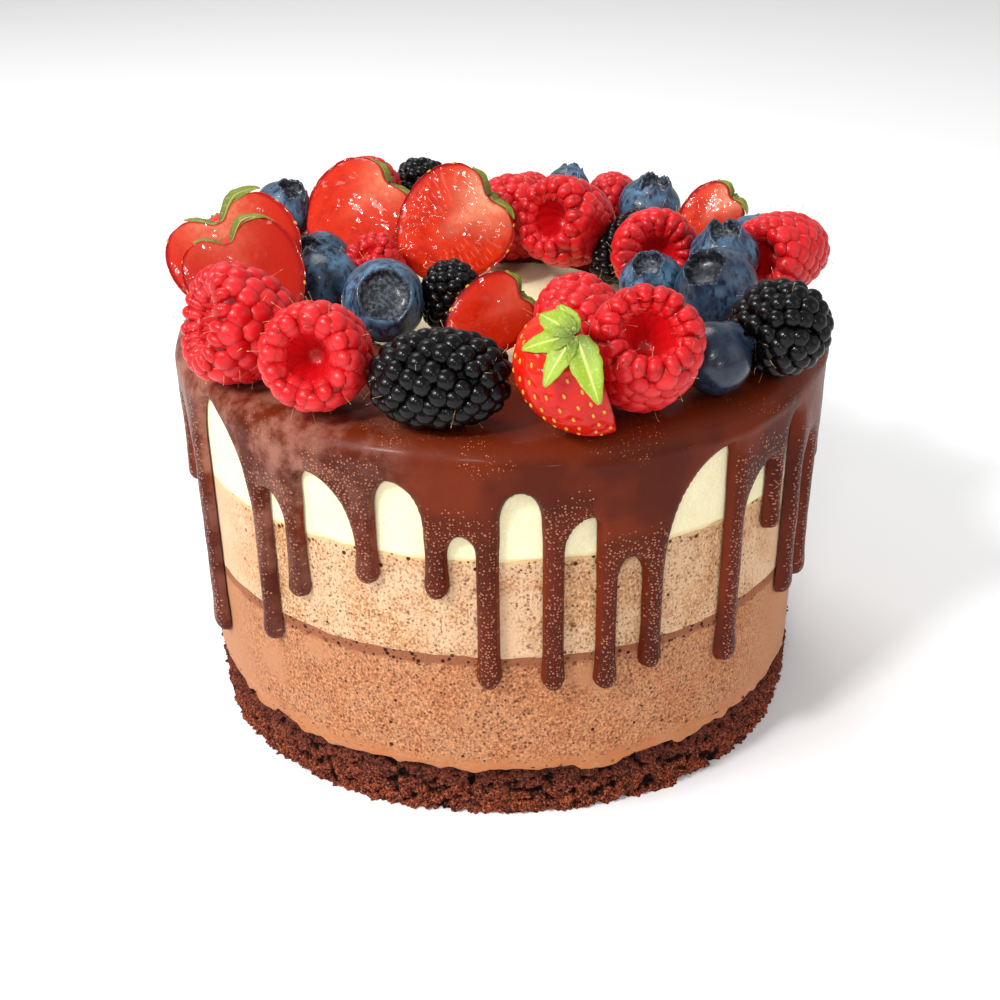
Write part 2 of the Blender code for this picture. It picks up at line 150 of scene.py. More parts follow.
def soft_noise(points: Array, size: float, seed: int) -> Array:
    """Smooth lumps of about this size, from -1 to 1.

    Each corner of a grid of that step has a number of its own, and a point takes the mean of the
    eight corners round it, weighted by eased shares of the way.
    """
    scaled = points / size
    cell = np.floor(scaled).astype(np.int64)
    share = ease(scaled - cell, 0, 1)
    total = np.zeros(points.shape[:-1])
    for corner in itertools.product((0, 1), repeat=3):
        weight = np.where(corner, share, 1 - share).prod(-1)
        total += weight * cell_numbers(cell + np.array(corner), seed)[..., 0]
    return 2 * total - 1


def layered_noise(points: Array, *layers: tuple) -> Array:
    """The sum of some noises, each given by its size, its seed and its strength."""
    return sum(strength * soft_noise(points, size, seed) for size, seed, strength in layers)


def pebbles(points: Array, size: float, seed: int) -> tuple[Array, Array]:
    """Rounded grains of about this size.

    Each cell of a grid of that step holds one grain's centre, and a point belongs to the nearest.

    Args:
        points: where to look, in metres.
        size: the grains' size in metres.
        seed: picks another set of grains.

    Returns:
        The dome of the grain at each point, 1 in its middle and 0 at three quarters of the size
        from it, and the grain's own number from 0 to 1.
    """
    scaled = points / size
    cell = np.floor(scaled).astype(np.int64)
    nearest = np.full(points.shape[:-1], np.inf)
    own = np.zeros(points.shape[:-1])
    for offset in itertools.product((-1, 0, 1), repeat=3):
        numbers = cell_numbers(cell + np.array(offset), seed)
        away = np.linalg.norm(scaled - (cell + np.array(offset) + numbers), axis=-1)
        closer = away < nearest
        nearest = np.where(closer, away, nearest)
        own = np.where(closer, (numbers.sum(-1) * 7) % 1, own)
    return np.clip(1 - (nearest / GRAIN_REACH) ** 2, 0, 1), own


def grid_faces(number: Array) -> Array:
    """The four corner numbers of each face of a grid of numbered points that closes round."""
    after = np.roll(number, -1, axis=1)
    return np.stack([number[:-1], number[1:], after[1:], after[:-1]], -1)


def add_object(name: str, data: bpy.types.ID) -> bpy.types.Object:
    """Puts an object with this mesh, light or camera into the scene."""
    made = bpy.data.objects.new(name, data)
    bpy.context.scene.collection.objects.link(made)
    return made


@dataclass
class Surface:
    """A mesh in the making: its points in metres, the corner numbers of its faces, and its marks.

    A mark is one number for each point, which a finish can read by the mark's name.
    """

    points: Array
    quads: Array = field(default_factory=lambda: np.zeros((0, 4), np.int64))
    triangles: Array = field(default_factory=lambda: np.zeros((0, 3), np.int64))
    marks: dict[str, Array] = field(default_factory=dict)

    @classmethod
    def closed_round(
        cls, rings: Array, top: float = None, bottom: float = None, **marks: Array | float
    ) -> "Surface":
        """A closed surface from rings of points, which run from the top down and each grow in angle.

        Each face joins a point of a ring and the next point to the two below them, and a fan
        closes each end on its pole.

        Args:
            rings: an array of rows, columns and three coordinates.
            top: the height of the pole above the first ring. Without it, the ring's middle.
            bottom: the same under the last ring.
            marks: one number for each point, each row or all. A pole takes the mean of its ring.

        Returns:
            The surface, whose faces point outwards.
        """
        rows, columns = rings.shape[:2]
        number = np.arange(rows * columns).reshape(rows, columns)
        peak = np.full(columns, rows * columns)
        upper = np.stack([peak, number[0], np.roll(number[0], -1)], -1)
        lower = np.stack([peak + 1, np.roll(number[-1], -1), number[-1]], -1)
        ends = zip((top, bottom), (rings[0], rings[-1]))
        poles = [ring.mean(0) if height is None else (0, 0, height) for height, ring in ends]
        spread = {}
        for name, values in marks.items():
            grid = np.broadcast_to(values, (rows, columns))
            spread[name] = np.concatenate([grid.ravel(), [grid[0].mean(), grid[-1].mean()]])
        points = np.concatenate([rings.reshape(-1, 3), poles])
        return cls(points, grid_faces(number).reshape(-1, 4), np.concatenate([upper, lower]), spread)

    @classmethod
    def joined(cls, surfaces: list["Surface"]) -> "Surface":
        """One surface of several, each with its faces renumbered past those before it."""
        starts = np.cumsum([0] + [len(s.points) for s in surfaces[:-1]])
        names = {name for s in surfaces for name in s.marks}
        return cls(
            np.concatenate([s.points for s in surfaces]),
            np.concatenate([s.quads + start for s, start in zip(surfaces, starts)]),
            np.concatenate([s.triangles + start for s, start in zip(surfaces, starts)]),
            {
                name: np.concatenate([s.marks.get(name, np.zeros(len(s.points))) for s in surfaces])
                for name in sorted(names)
            },
        )

    def copies(
        self, scale: Array, frames: Array, centre: Array, **marks: Array
    ) -> "Surface":
        """Many copies of this surface in one, each scaled, turned and moved.

        Args:
            scale: each copy's size along its own three axes.
            frames: each copy's own axes as rows.
            centre: each copy's place.
            marks: one number for each copy, beside the marks that the surface has.

        Returns:
            The one surface.
        """
        count, size = len(centre), len(self.points)
        points = np.einsum("nti,nij->ntj", self.points * scale[:, None], frames) + centre[:, None]
        step = (np.arange(count) * size)[:, None, None]
        carried = {name: np.tile(values, count) for name, values in self.marks.items()}
        carried |= {name: np.repeat(values, size) for name, values in marks.items()}
        quads, triangles = (self.quads + step).reshape(-1, 4), (self.triangles + step).reshape(-1, 3)
        return Surface(points.reshape(-1, 3), quads, triangles, carried)

    def build(self, name: str, material: Material, slot: str, *nodes: str) -> bpy.types.Object:
        """Makes the mesh, and hides the CAD nodes that it stands for.

        Args:
            name: the piece's name.
            material: its finish.
            slot: not used.
            nodes: the CAD nodes that it replaces.

        Returns:
            The new object, at the origin, which rides on the cake.
        """
        mesh = bpy.data.meshes.new(name)
        mesh.vertices.add(len(self.points))
        mesh.vertices.foreach_set("co", self.points.astype(np.float32).ravel())
        corners = np.concatenate([self.quads.ravel(), self.triangles.ravel()])
        counts = np.repeat([4, 3], [len(self.quads), len(self.triangles)])
        mesh.loops.add(len(corners))
        mesh.loops.foreach_set("vertex_index", corners.astype(np.int32))
        mesh.polygons.add(len(counts))
        mesh.polygons.foreach_set("loop_start", (np.cumsum(counts) - counts).astype(np.int32))
        mesh.update(calc_edges=True)
        for mark, values in self.marks.items():
            attribute = mesh.attributes.new(mark, "FLOAT", "POINT")
            attribute.data.foreach_set("value", values.astype(np.float32))
        mesh.shade_smooth()
        mesh.materials.append(material)
        made = add_object(name, mesh)
        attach(made, "root")
        if nodes:
            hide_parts(*nodes)
        log.info("%s: %d triangles", name, 2 * len(self.quads) + len(self.triangles))
        return made


class Recipe:
    """The nodes of one material, with short calls for those that this cake's finishes use.

    Patterns read the piece's own place in metres, so a size is in metres too.
    """

    def __init__(self, name: str) -> None:
        """Starts a material with a Principled shader and nothing joined to it."""
        self.material = bpy.data.materials.new(name)
        self.material.use_nodes = True
        self.tree = self.material.node_tree
        self.shader = self.tree.nodes["Principled BSDF"]
        self.place = self.tree.nodes.new("ShaderNodeTexCoord").outputs["Object"]

    def feed(self, socket: Socket, value: Input) -> None:
        """Joins a socket to another, or sets it to a plain value."""
        if isinstance(value, Socket):
            self.tree.links.new(value, socket)
        elif isinstance(value, tuple) and socket.type == "RGBA":
            socket.default_value = (*value, 1)
        else:
            socket.default_value = value

    def add(self, kind: str, inputs: dict, **settings: object) -> bpy.types.Node:
        """Adds a node, with its inputs by name or number and its settings."""
        node = self.tree.nodes.new(kind)
        for name, value in settings.items():
            setattr(node, name, value)
        for name, value in inputs.items():
            self.feed(node.inputs[name], value)
        return node

    def scaled(self, *scale: float) -> Socket:
        """The piece's own place, scaled along X, Y and Z."""
        return self.add("ShaderNodeMapping", {"Vector": self.place, "Scale": scale}).outputs["Vector"]

    def noise(self, size: float, detail: float = 3, rough: float = 0.55, place: Socket = None) -> Socket:
        """Cloudy noise of this size, from 0 to 1 and mostly near a half."""
        inputs = {"Vector": place or self.place, "Scale": 1 / size, "Detail": detail, "Roughness": rough}
        return self.add("ShaderNodeTexNoise", inputs).outputs["Fac"]

    def domes(
        self, size: float, share: Input, wide: float, blunt: float = 0.35, flat: Socket = None
    ) -> Socket:
        """Round domes in this share of scattered cells, up to this wide as a share of the cell's size."""
        inputs = {"Vector": flat or self.place, "Scale": 1 / size}
        cells = self.add("ShaderNodeTexVoronoi", inputs, voronoi_dimensions="2D" if flat else "3D").outputs
        chosen = self.calc("SUBTRACT", share, self.part_of(cells["Color"], "X"))
        reach = self.ease(self.part_of(cells["Color"], "Y"), 0, 1, 0.5 * wide, wide)
        near = self.calc("SUBTRACT", reach, cells["Distance"])
        return self.times(self.ease(near, 0, blunt), self.ease(chosen, 0, 0.03))

    def spots(self, size: float, share: Input, wide: float) -> Socket:
        """Scattered round spots with sharp edges."""
        return self.domes(size, share, wide, 0.08)

    def ease(self, value: Input, start: float, end: float, low: float = 0, high: float = 1) -> Socket:
        """Runs smoothly from low to high as the value goes from start to end."""
        inputs = {"Value": value, "From Min": start, "From Max": end, "To Min": low, "To Max": high}
        return self.add("ShaderNodeMapRange", inputs, interpolation_type="SMOOTHSTEP").outputs["Result"]

    def calc(self, operation: str, first: Input, second: Input) -> Socket:
        """One sum, product or the like of two numbers."""
        return self.add("ShaderNodeMath", {0: first, 1: second}, operation=operation).outputs["Value"]

    def times(self, first: Input, second: Input) -> Socket:
        """The product of two numbers."""
        return self.calc("MULTIPLY", first, second)

    def more_of(self, first: Input, second: Input) -> Socket:
        """The larger of two numbers."""
        return self.calc("MAXIMUM", first, second)

    def blend(self, share: Input, first: Input, second: Input) -> Socket:
        """The first colour where the share is 0, the second where it is 1."""
        node = self.add("ShaderNodeMix", {}, data_type="RGBA")
        for place, value in ((0, share), (6, first), (7, second)):
            self.feed(node.inputs[place], value)
        return node.outputs[2]

    def mark(self, name: str) -> Socket:
        """The number that the surface carries under this name."""
        return self.add("ShaderNodeAttribute", {}, attribute_name=name).outputs["Fac"]

    def part_of(self, vector: Socket, axis: str) -> Socket:
        """One coordinate, or one colour channel, of a vector."""
        return self.add("ShaderNodeSeparateXYZ", {"Vector": vector}).outputs[axis]

    def bump(self, height: Socket, depth: float, under: Socket = None) -> Socket:
        """Relief whose height runs from 0 to 1 over this depth in metres."""
        inputs = {"Height": height, "Distance": depth, "Strength": 1.0}
        if under is not None:
            inputs["Normal"] = under
        return self.add("ShaderNodeBump", inputs).outputs["Normal"]

    def finish(self, **inputs: Input) -> Material:
        """Sets the shader's inputs, whose names have _ for spaces, and returns the material."""
        for name, value in inputs.items():
            self.feed(self.shader.inputs[name.replace("_", " ")], value)
        return self.material


@dataclass(frozen=True)
class SpongeFinish:
    """Dark, open chocolate crumb, nearly black in its hollows by painted shade, and reddish by painted
    glints.
    """

    dusk: Colour = srgb(84, 42, 34)
    crumb: Colour = srgb(140, 64, 42)
    painted_crumb_glint: Colour = srgb(204, 112, 76)
    hollow: Colour = srgb(26, 9, 6)
    grain: float = 0.60 * MM

    def make(self) -> Material:
        """Painted shade darkens the hollows, by the mark depth, and the grain's pores; painted glints gather
        towards the foot.
        """
        mix = Recipe("sponge_crumb")
        grain = mix.noise(self.grain, 3, 0.68)
        clumps = mix.noise(2.6 * MM, 3, 0.6)
        # towards the foot the crumb is lighter and the painted glints are more
        low = mix.ease(mix.part_of(mix.place, "Z"), 16 * MM, 3 * MM, 0.30, 1.0)
        crumbly = mix.times(mix.ease(clumps, 0.36, 0.6), low)
        body = mix.blend(crumbly, self.dusk, self.crumb)
        # painted reddish glints on the grain
        glinted_crumb = mix.blend(mix.times(mix.ease(grain, 0.52, 0.66), low), body, self.painted_crumb_glint)
        # painted shade in the pores of the grain
        pore_shaded = mix.blend(mix.ease(grain, 0.50, 0.38), glinted_crumb, self.hollow)
        # painted shade in the hollows, by the relief's depth
        lit = mix.ease(mix.mark("depth"), 0.02, 0.42)
        return mix.finish(
            Base_Color=mix.blend(lit, self.hollow, pore_shaded), Roughness=0.8, Specular_IOR_Level=0.1,
            Normal=mix.bump(grain, 0.7 * MM),
        )


@dataclass(frozen=True)
class MousseFinish:
    """Whipped mousse: creamy where it is smooth, and a fine foam where it is open.

    Attributes:
        smooth: the colour where it is smooth.
        foam: the mean colour of the foam, light a painted highlight on its walls and shade painted shade in
            its cells.
        painted_hole_shade: painted shade in the holes, strongest in the larger ones and the slits.
        edge: the colour at a border, and smear that of the streaks at the foot.
        edging: between which values of the mark border the edge's colour comes in.
        foam_size: of the foam's cells, dot_size of the small holes and pit_size of the large.
        relief: how deep the foam and the holes are.
        holes: the share of the scattered cells that have a large hole.
        glow: how much light goes through it.
    """

    name: str
    smooth: Colour
    foam: Colour
    light: Colour
    shade: Colour
    painted_hole_shade: Colour
    edge: Colour
    smear: Colour
    edging: tuple = (0.72, 0.97)
    foam_size: float = 0.60 * MM
    dot_size: float = 1.3 * MM
    pit_size: float = 1.7 * MM
    relief: float = 0.30 * MM
    holes: float = 0.06
    glow: float = 0.10

    def make(self) -> Material:
        """Foam, dots and pits lie where the mark porous is, and more pits near a border. The holes, slits and
        the foam's cells take painted shade, and the foam's walls a painted highlight.
        """
        mix = Recipe(self.name)
        porous, border, smear = mix.mark("porous"), mix.mark("border"), mix.mark("smear")
        open_part = mix.times(porous, mix.ease(smear, 0.1, 0.9, 1.0, 0.15))
        grain = mix.noise(self.foam_size, 2, 0.6, mix.scaled(1, 1, 0.85))
        cloud = mix.ease(mix.noise(9 * MM, 4), 0.35, 0.65)
        base = mix.blend(porous, self.smooth, mix.blend(cloud, self.foam, self.smooth))
        walls = mix.times(mix.ease(grain, 0.50, 0.64, 0, 0.85), open_part)
        cells = mix.times(mix.ease(grain, 0.48, 0.32, 0, 0.75), open_part)
        # painted highlight on the foam's walls and painted shade in its cells
        foamed = mix.blend(cells, mix.blend(walls, base, self.light), self.shade)
        edged = mix.blend(mix.ease(border, *self.edging, 0, 0.9), foamed, self.edge)
        streaks = mix.noise(3.0 * MM, 4, 0.62, mix.scaled(1, 1, 4.0))
        streaked = mix.times(smear, mix.ease(streaks, 0.40, 0.55))
        smeared = mix.blend(streaked, edged, self.smear)
        slits = mix.times(mix.ease(smear, 0.3, 0.7), mix.ease(streaks, 0.37, 0.32))
        dots = mix.times(mix.spots(self.dot_size, 13 * self.holes, 0.31), open_part)
        near_border = mix.calc("ADD", mix.ease(border, 0.08, 0.35, 0, 14 * self.holes), self.holes)
        pits = mix.times(mix.spots(self.pit_size, near_border, 0.36), porous)
        open_holes = mix.more_of(pits, slits)
        holes = mix.more_of(mix.times(dots, 0.7), open_holes)
        deep = mix.more_of(mix.times(cells, 0.55), holes)
        height = mix.calc("SUBTRACT", mix.times(walls, 0.3), deep)
        lumps = mix.bump(mix.noise(3 * MM, 3), 0.12 * MM)
        # the holes and slits take painted shade
        return mix.finish(
            Base_Color=mix.blend(holes, smeared, self.painted_hole_shade), Roughness=mix.ease(smear, 0, 1, 0.66, 0.42),
            Specular_IOR_Level=0.15, Subsurface_Weight=self.glow, Subsurface_Radius=(1.0, 0.6, 0.3),
            Subsurface_Scale=1.2 * MM, Normal=mix.bump(height, self.relief, lumps),
        )


DARK_MOUSSE = MousseFinish(
    "dark_mousse_whip", smooth=srgb(176, 122, 86), foam=srgb(170, 107, 70), light=srgb(206, 147, 102),
    shade=srgb(108, 56, 34), painted_hole_shade=srgb(48, 17, 7), edge=srgb(142, 84, 56), smear=srgb(178, 108, 62),
    edging=(0.2, 0.6),
)
MILK_MOUSSE = MousseFinish(
    "milk_mousse_whip", smooth=srgb(212, 176, 142), foam=srgb(190, 140, 98), light=srgb(222, 184, 142),
    shade=srgb(144, 90, 54), painted_hole_shade=srgb(84, 38, 14), edge=srgb(216, 180, 128), smear=srgb(208, 158, 112),
)
WHITE_MOUSSE = MousseFinish(
    "white_mousse_whip", smooth=srgb(238, 228, 188), foam=srgb(232, 220, 178),
    light=srgb(240, 232, 198), shade=srgb(232, 218, 174), painted_hole_shade=srgb(214, 196, 146),
    edge=srgb(226, 200, 150), smear=srgb(240, 230, 194), edging=(0.1, 0.95), relief=0.06 * MM,
    holes=0.0,
)


@dataclass(frozen=True)
class GlazeFinish:
    """Set chocolate glaze: satin on the band, with painted golden glints on the top, beaded with tiny drops
    below.
    """

    band: Colour = srgb(76, 24, 9)
    warm: Colour = srgb(102, 36, 12)
    top: Colour = srgb(98, 34, 13)
    under: Colour = srgb(58, 19, 10)
    bead: Colour = srgb(184, 112, 80)
    painted_sheen: Colour = srgb(164, 112, 94)
    painted_speck_glint: Colour = srgb(190, 112, 58)
    bead_sizes: tuple = (0.74 * MM, 1.30 * MM)
    speck_size: float = 0.62 * MM

    def make(self) -> Material:
        """Beads are domes of two sizes on the wall, more of them where the mark beads is high. Their domes
        take a painted highlight and the ground between them painted shade.

        The top and shoulder have patches of fine painted golden glints, and the left a painted paler sheen."""
        mix = Recipe("chocolate_glaze_coat")
        cloud = mix.ease(mix.noise(24 * MM, 3), 0.40, 0.60)
        side = mix.blend(cloud, self.band, self.warm)
        sideways, tall = mix.part_of(mix.place, "X"), mix.part_of(mix.place, "Z")
        body = mix.blend(mix.ease(tall, 0.0995, 0.1035), side, self.top)
        # painted sheen on the lit left of the band
        painted_sheen_share = mix.ease(mix.noise(9 * MM, 6, 0.68), 0.38, 0.62, 0, 0.6)
        painted_sheen_share = mix.times(painted_sheen_share, mix.ease(sideways, -0.012, -0.045))
        painted_sheen_share = mix.times(painted_sheen_share, mix.ease(tall, 0.055, 0.085, 0.3, 1.0))
        body = mix.blend(painted_sheen_share, body, self.painted_sheen)
        amount = mix.mark("beads")
        to_front = mix.times(mix.part_of(mix.place, "Y"), -1.0)
        turn = mix.calc("ARCTAN2", sideways, to_front)
        arc = mix.times(turn, SIZES.radius)
        wall = mix.add("ShaderNodeCombineXYZ", {"X": arc, "Y": tall}).outputs["Vector"]
        small, large = self.bead_sizes
        more = mix.domes(small, amount, 0.48, 0.25, wall)
        raised = mix.more_of(more, mix.domes(large, mix.times(amount, 0.4), 0.34, 0.25, wall))
        beaded = mix.ease(amount, 0.1, 0.6, 0, 0.5)
        # painted shade on the ground between the beads
        ground = mix.times(mix.ease(raised, 0.35, 0.0), beaded)
        body = mix.blend(ground, body, self.under)
        # painted golden glints on the top and shoulder
        specks = mix.times(mix.spots(self.speck_size, 0.9, 0.30), mix.ease(tall, 0.096, 0.100))
        specks = mix.times(specks, mix.ease(mix.noise(13 * MM, 3), 0.50, 0.60))
        # painted highlight on the beads' domes
        lit = mix.ease(raised, 0.40, 0.95, 0, 0.75)
        coloured = mix.blend(specks, mix.blend(lit, body, self.bead), self.painted_speck_glint)
        satin = mix.bump(mix.noise(2.4 * MM, 4, 0.65), 0.16 * MM)
        return mix.finish(
            Base_Color=coloured, Roughness=mix.ease(amount, 0, 1, 0.42, 0.34), Specular_IOR_Level=0.07,
            Coat_Weight=mix.ease(raised, 0.2, 0.8, 0.06, 0.4), Coat_Roughness=0.14,
            Normal=mix.bump(raised, 0.30 * MM, satin),
        )


@dataclass
class Sponge:
    """The chocolate sponge: a disc whose side is torn into crumbs.

    Attributes:
        taper: how far its foot is set in all round.
        set_in: how much further its side is set in at the very front, at the top and at the foot.
        depth: of the crumb's relief.
        grains: the sizes of the large and the small crumbs.
        lumps: the sizes of the fine and the slow noise.
        clump: the size of the clumps between the cavities.
    """

    radius: float = SIZES.sponge_radius
    top: float = SIZES.sponge_top - SIZES.gap
    taper: float = 0.6 * MM
    set_in: tuple = (2.2 * MM, 5.0 * MM)
    depth: float = 2.4 * MM
    grains: tuple = (2.3 * MM, 1.1 * MM)
    lumps: tuple = (0.75 * MM, 9 * MM)
    clump: float = 2.1 * MM
    columns: int = 1400
    side_rows: int = 58

    def side(self, angle: Array, share: Array) -> Array:
        """The side's radius. It is set in with the cube of the cosine of the angle, in front only."""
        top, foot = self.set_in
        front = np.maximum(np.cos(angle), 0) ** 3
        return self.radius - self.taper * share - (top + (foot - top) * share) * front

    def surface(self) -> Surface:
        """The turned disc with crumbs.

        The side's relief adds the domes of large and small grains and fine and slow noise, and
        takes away the cavities between clumps. The flat ends stay flat.
        """
        angle = full_turn(self.columns)
        share = np.linspace(0, 1, self.side_rows)[:, None]
        height = self.top * (1 - share)
        radius = self.side(angle, share)
        place = around(angle, radius, height)
        large, level = pebbles(place, self.grains[0], 3)
        small, small_level = pebbles(place, self.grains[1], 8)
        fine, slow = soft_noise(place, self.lumps[0], 15), soft_noise(place, self.lumps[1], 5)
        cavity = ease(soft_noise(place, self.clump, 27), 0.12, 0.5)
        relief = 0.22 + large * (0.12 + 0.34 * level) + small * (0.15 + 0.30 * small_level)
        relief = relief + 0.24 * fine + 0.14 * slow - 0.50 * cavity
        lean = soft_noise(place, 1.4 * MM, 21) * 0.35 * MM * np.sin(math.pi * share)
        side = around(angle, radius + (relief - 0.5) * self.depth, height + lean)
        inner = np.array([0.3, 0.75, 0.93])[:, None] * (radius[:1] - self.depth)
        upper = around(angle, inner, self.top)
        lower = around(angle, inner[::-1] * 0.96, 0.0)
        rings = np.concatenate([upper, side, lower])
        flat = np.full_like(relief[: len(inner)], 0.6)
        # the relief, which the finish reads for its painted shade in the hollows
        depth = np.concatenate([flat, relief, flat])
        return Surface.closed_round(rings, self.top, 0, depth=depth)

    def make(self) -> None:
        """Builds and dresses the sponge."""
        self.surface().build("sponge_base", SpongeFinish().make(), "sponge", "sponge")


@dataclass
class MousseLayer:
    """A round layer of mousse, set in a ring: an even wall with slight waves and soft edges.

    Attributes:
        node: the CAD node, which also names the layer.
        low: the height of its underside, and high that of its top.
        seed: picks its waves.
        smear: how high the smeared strip at its foot is, and lip how far that hangs down.
        border: how thick the edge of another colour is at its foot (below 0) or its top.
        seams: pick the waves of the borders below and above it, and 0 keeps a border straight.
        edge: how far its top and foot are rounded.
        inset: how far its wall lies inside its radius on the mean.
        waves: the sizes, seeds and strengths of the wall's waves. Those of the ridges in its
            smeared strip and of the lip's ragged edge have seeds that count from its own.
        stretch: how much longer the ridges are round the cake than they are high.
        waver: how far a border waves up and down.
        dent: how far its top dips.
    """

    node: str
    low: float
    high: float
    finish: MousseFinish
    seed: int
    smear: float = 0.0
    lip: float = 0.0
    border: float = 0.0
    seams: tuple = (0, 0)
    radius: float = SIZES.radius
    columns: int = 640
    row_step: float = 0.65 * MM
    edge: float = 0.04 * MM
    inset: float = 0.25 * MM
    waves: tuple = ((16 * MM, 50, 0.22 * MM), (4 * MM, 55, 0.35 * 0.22 * MM))
    ridges: tuple = ((7 * MM, 9, 0.45 * MM), (2.6 * MM, 11, 0.6 * 0.45 * MM))
    ragged: tuple = ((9 * MM, 13, 1.0), (2.6 * MM, 17, 1.0))
    stretch: float = 3.5
    waver: float = 0.45 * MM
    dent: float = 0.35 * MM

    def noise(self, place: Array, layers: tuple) -> Array:
        """A sum of noises whose seeds count from its own."""
        return layered_noise(place, *((size, self.seed + seed, strength) for size, seed, strength in layers))

    def porous(self, place: Array) -> Array:
        """How open the mousse is: open in front, smooth at the sides, and in patches behind."""
        angle = np.arctan2(place[..., 0], -place[..., 1])
        front = ease(np.abs(angle), 1.15, 0.72)
        behind = ease(soft_noise(place, 42 * MM, self.seed), -0.1, 0.35) * ease(np.abs(angle), 1.3, 1.7)
        patch = ease(soft_noise(place, 11 * MM, self.seed + 1), -1.0, -0.45)
        return np.maximum(front, behind) * patch

    def smeared(self, height: Array) -> Array:
        """How smeared it is at this height: 1 at its foot, and 0 over the strip."""
        return ease(height, self.low + self.smear, self.low) if self.smear else np.zeros_like(height)

    def wall(self, angle: Array, height: Array) -> Array:
        """The wall's radius: slow waves, and ridges that lie along the smeared strip."""
        place = around(angle, self.radius, height)
        ridges = self.noise(place * (1, 1, self.stretch), self.ridges) * self.smeared(height)
        return self.radius - self.inset + layered_noise(place, *self.waves) + ridges

    def surface(self) -> Surface:
        """The turned drum: its top dips a little, its edges are rounded and its lip hangs down.

        A border waves by noise over the 4 mm next to it, on the wall only.
        """
        angle = full_turn(self.columns)
        rows = max(8, round((self.high - self.low) / self.row_step))
        height = np.linspace(self.high - self.edge, self.low + self.edge, rows)[:, None]
        radius = self.wall(angle, height)
        foot = around(angle, self.radius, self.low)
        ragged = ease(self.noise(foot, self.ragged), -0.6, 1.1)
        droop = ease(height, self.low + 3.5 * MM, self.low) * self.lip * ragged
        ring = np.array([0.25, 0.5, 0.7, 0.85, 0.95])[:, None] * self.radius
        over = around(angle, ring, self.high)
        dip = ease(soft_noise(over, 13 * MM, self.seed + 2), -0.6, 0.8) * self.dent
        over = over - dip[..., None] * (0, 0, 1)
        soft_top = around(angle, radius[0] - self.edge, self.high)[None]
        soft_foot = around(angle, radius[-1] - np.array([[self.edge], [1.0 * MM]]), self.low)
        soft_foot[0] -= droop[-1][:, None] * (0, 0, 1)
        under = around(angle, ring[::-1], self.low)
        rings = np.concatenate([over, soft_top, around(angle, radius, height - droop), soft_foot, under])
        near_wall = np.clip((np.hypot(rings[..., 0], rings[..., 1]) / self.radius - 0.95) / 0.05, 0, 1)
        starts, ends = (self.low + 4 * MM, self.high - 4 * MM), (self.low, self.high)
        for seam, start, end in zip(self.seams, starts, ends):
            if seam:
                lift = soft_noise(foot * (1, 1, 0), 5 * MM, seam) * self.waver
                rings[..., 2] += near_wall * ease(rings[..., 2], start, end) * lift
        return Surface.closed_round(rings, self.high, self.low, **self.marks(rings))

    def marks(self, rings: Array) -> dict[str, Array]:
        """How open it is, how near a border of another colour, and how smeared."""
        distance = rings[..., 2] - self.low if self.border < 0 else self.high - rings[..., 2]
        wobble = soft_noise(rings, 3 * MM, self.seed + 4) * 0.35 * MM
        border = 1 - ease(distance + wobble, 0, abs(self.border))
        return {"porous": self.porous(rings), "border": border, "smear": self.smeared(rings[..., 2])}

    def make(self) -> None:
        """Builds and dresses the layer."""
        self.surface().build(f"{self.node}_layer", self.finish.make(), self.node, self.node)


MEETING = 0.02 * MM
LAYERS = (
    MousseLayer(
        "dark_mousse", SIZES.sponge_top, SIZES.milk_bottom - MEETING, DARK_MOUSSE, seed=50,
        smear=5 * MM, lip=2.0 * MM, border=4.5 * MM, seams=(0, 21),
    ),
    MousseLayer(
        "milk_mousse", SIZES.milk_bottom, SIZES.white_bottom - MEETING, MILK_MOUSSE, seed=70,
        border=3.2 * MM, seams=(21, 22),
    ),
    MousseLayer(
        "white_mousse", SIZES.white_bottom, SIZES.top, WHITE_MOUSSE, seed=90,
        border=-1.3 * MM, seams=(22, 0),
    ),
)


@dataclass(frozen=True)
class Drip:
    """One run of glaze: its angle in degrees, the height of its tip and its width in metres.

    The gap to the next drip ends above in an arch. It peaks at the share arch_at of the way there,
    at the height arch_top.
    """

    angle: float
    tip: float
    width: float
    arch_at: float
    arch_top: float


FRONT_DRIPS = (
    Drip(-80, 0.063, 0.0062, 0.50, 0.092),
    Drip(-64, 0.030, 0.0068, 0.35, 0.1000),
    Drip(-43.1, 0.043, 0.0049, 0.20, 0.085),
    Drip(-35.5, 0.059, 0.0049, 0.20, 0.093),
    Drip(-21.9, 0.068, 0.0049, 0.35, 0.0945),
    Drip(-10.5, 0.0665, 0.0049, 0.50, 0.0825),
    Drip(-2.5, 0.043, 0.0050, 0.50, 0.093),
    Drip(7.8, 0.042, 0.0048, 0.80, 0.086),
    Drip(16.5, 0.0405, 0.0048, 0.42, 0.0745),
    Drip(24.4, 0.0435, 0.0049, 0.92, 0.0957),
    Drip(40.8, 0.0365, 0.0056, 0.88, 0.087),
    Drip(51.2, 0.067, 0.0047, 0.60, 0.095),
    Drip(60, 0.0425, 0.0060, 0.50, 0.084),
    Drip(70, 0.040, 0.0062, 0.50, 0.080),
    Drip(80, 0.066, 0.0062, 0.50, 0.090),
)


def back_drips(count: int = 16, seed: int = 5) -> list[Drip]:
    """The drips behind, spread evenly between the last and the first in front with a seeded wobble."""
    draw = random.Random(seed).uniform
    first, last = FRONT_DRIPS[-1].angle, FRONT_DRIPS[0].angle + 360
    step = (last - first) / (count + 1)
    return [
        Drip(
            first + step * (i + 1) + draw(-1.6, 1.6),
            draw(0.034, 0.074),
            draw(0.0052, 0.0074),
            draw(0.25, 0.75),
            draw(0.080, 0.096),
        )
        for i in range(count)
    ]


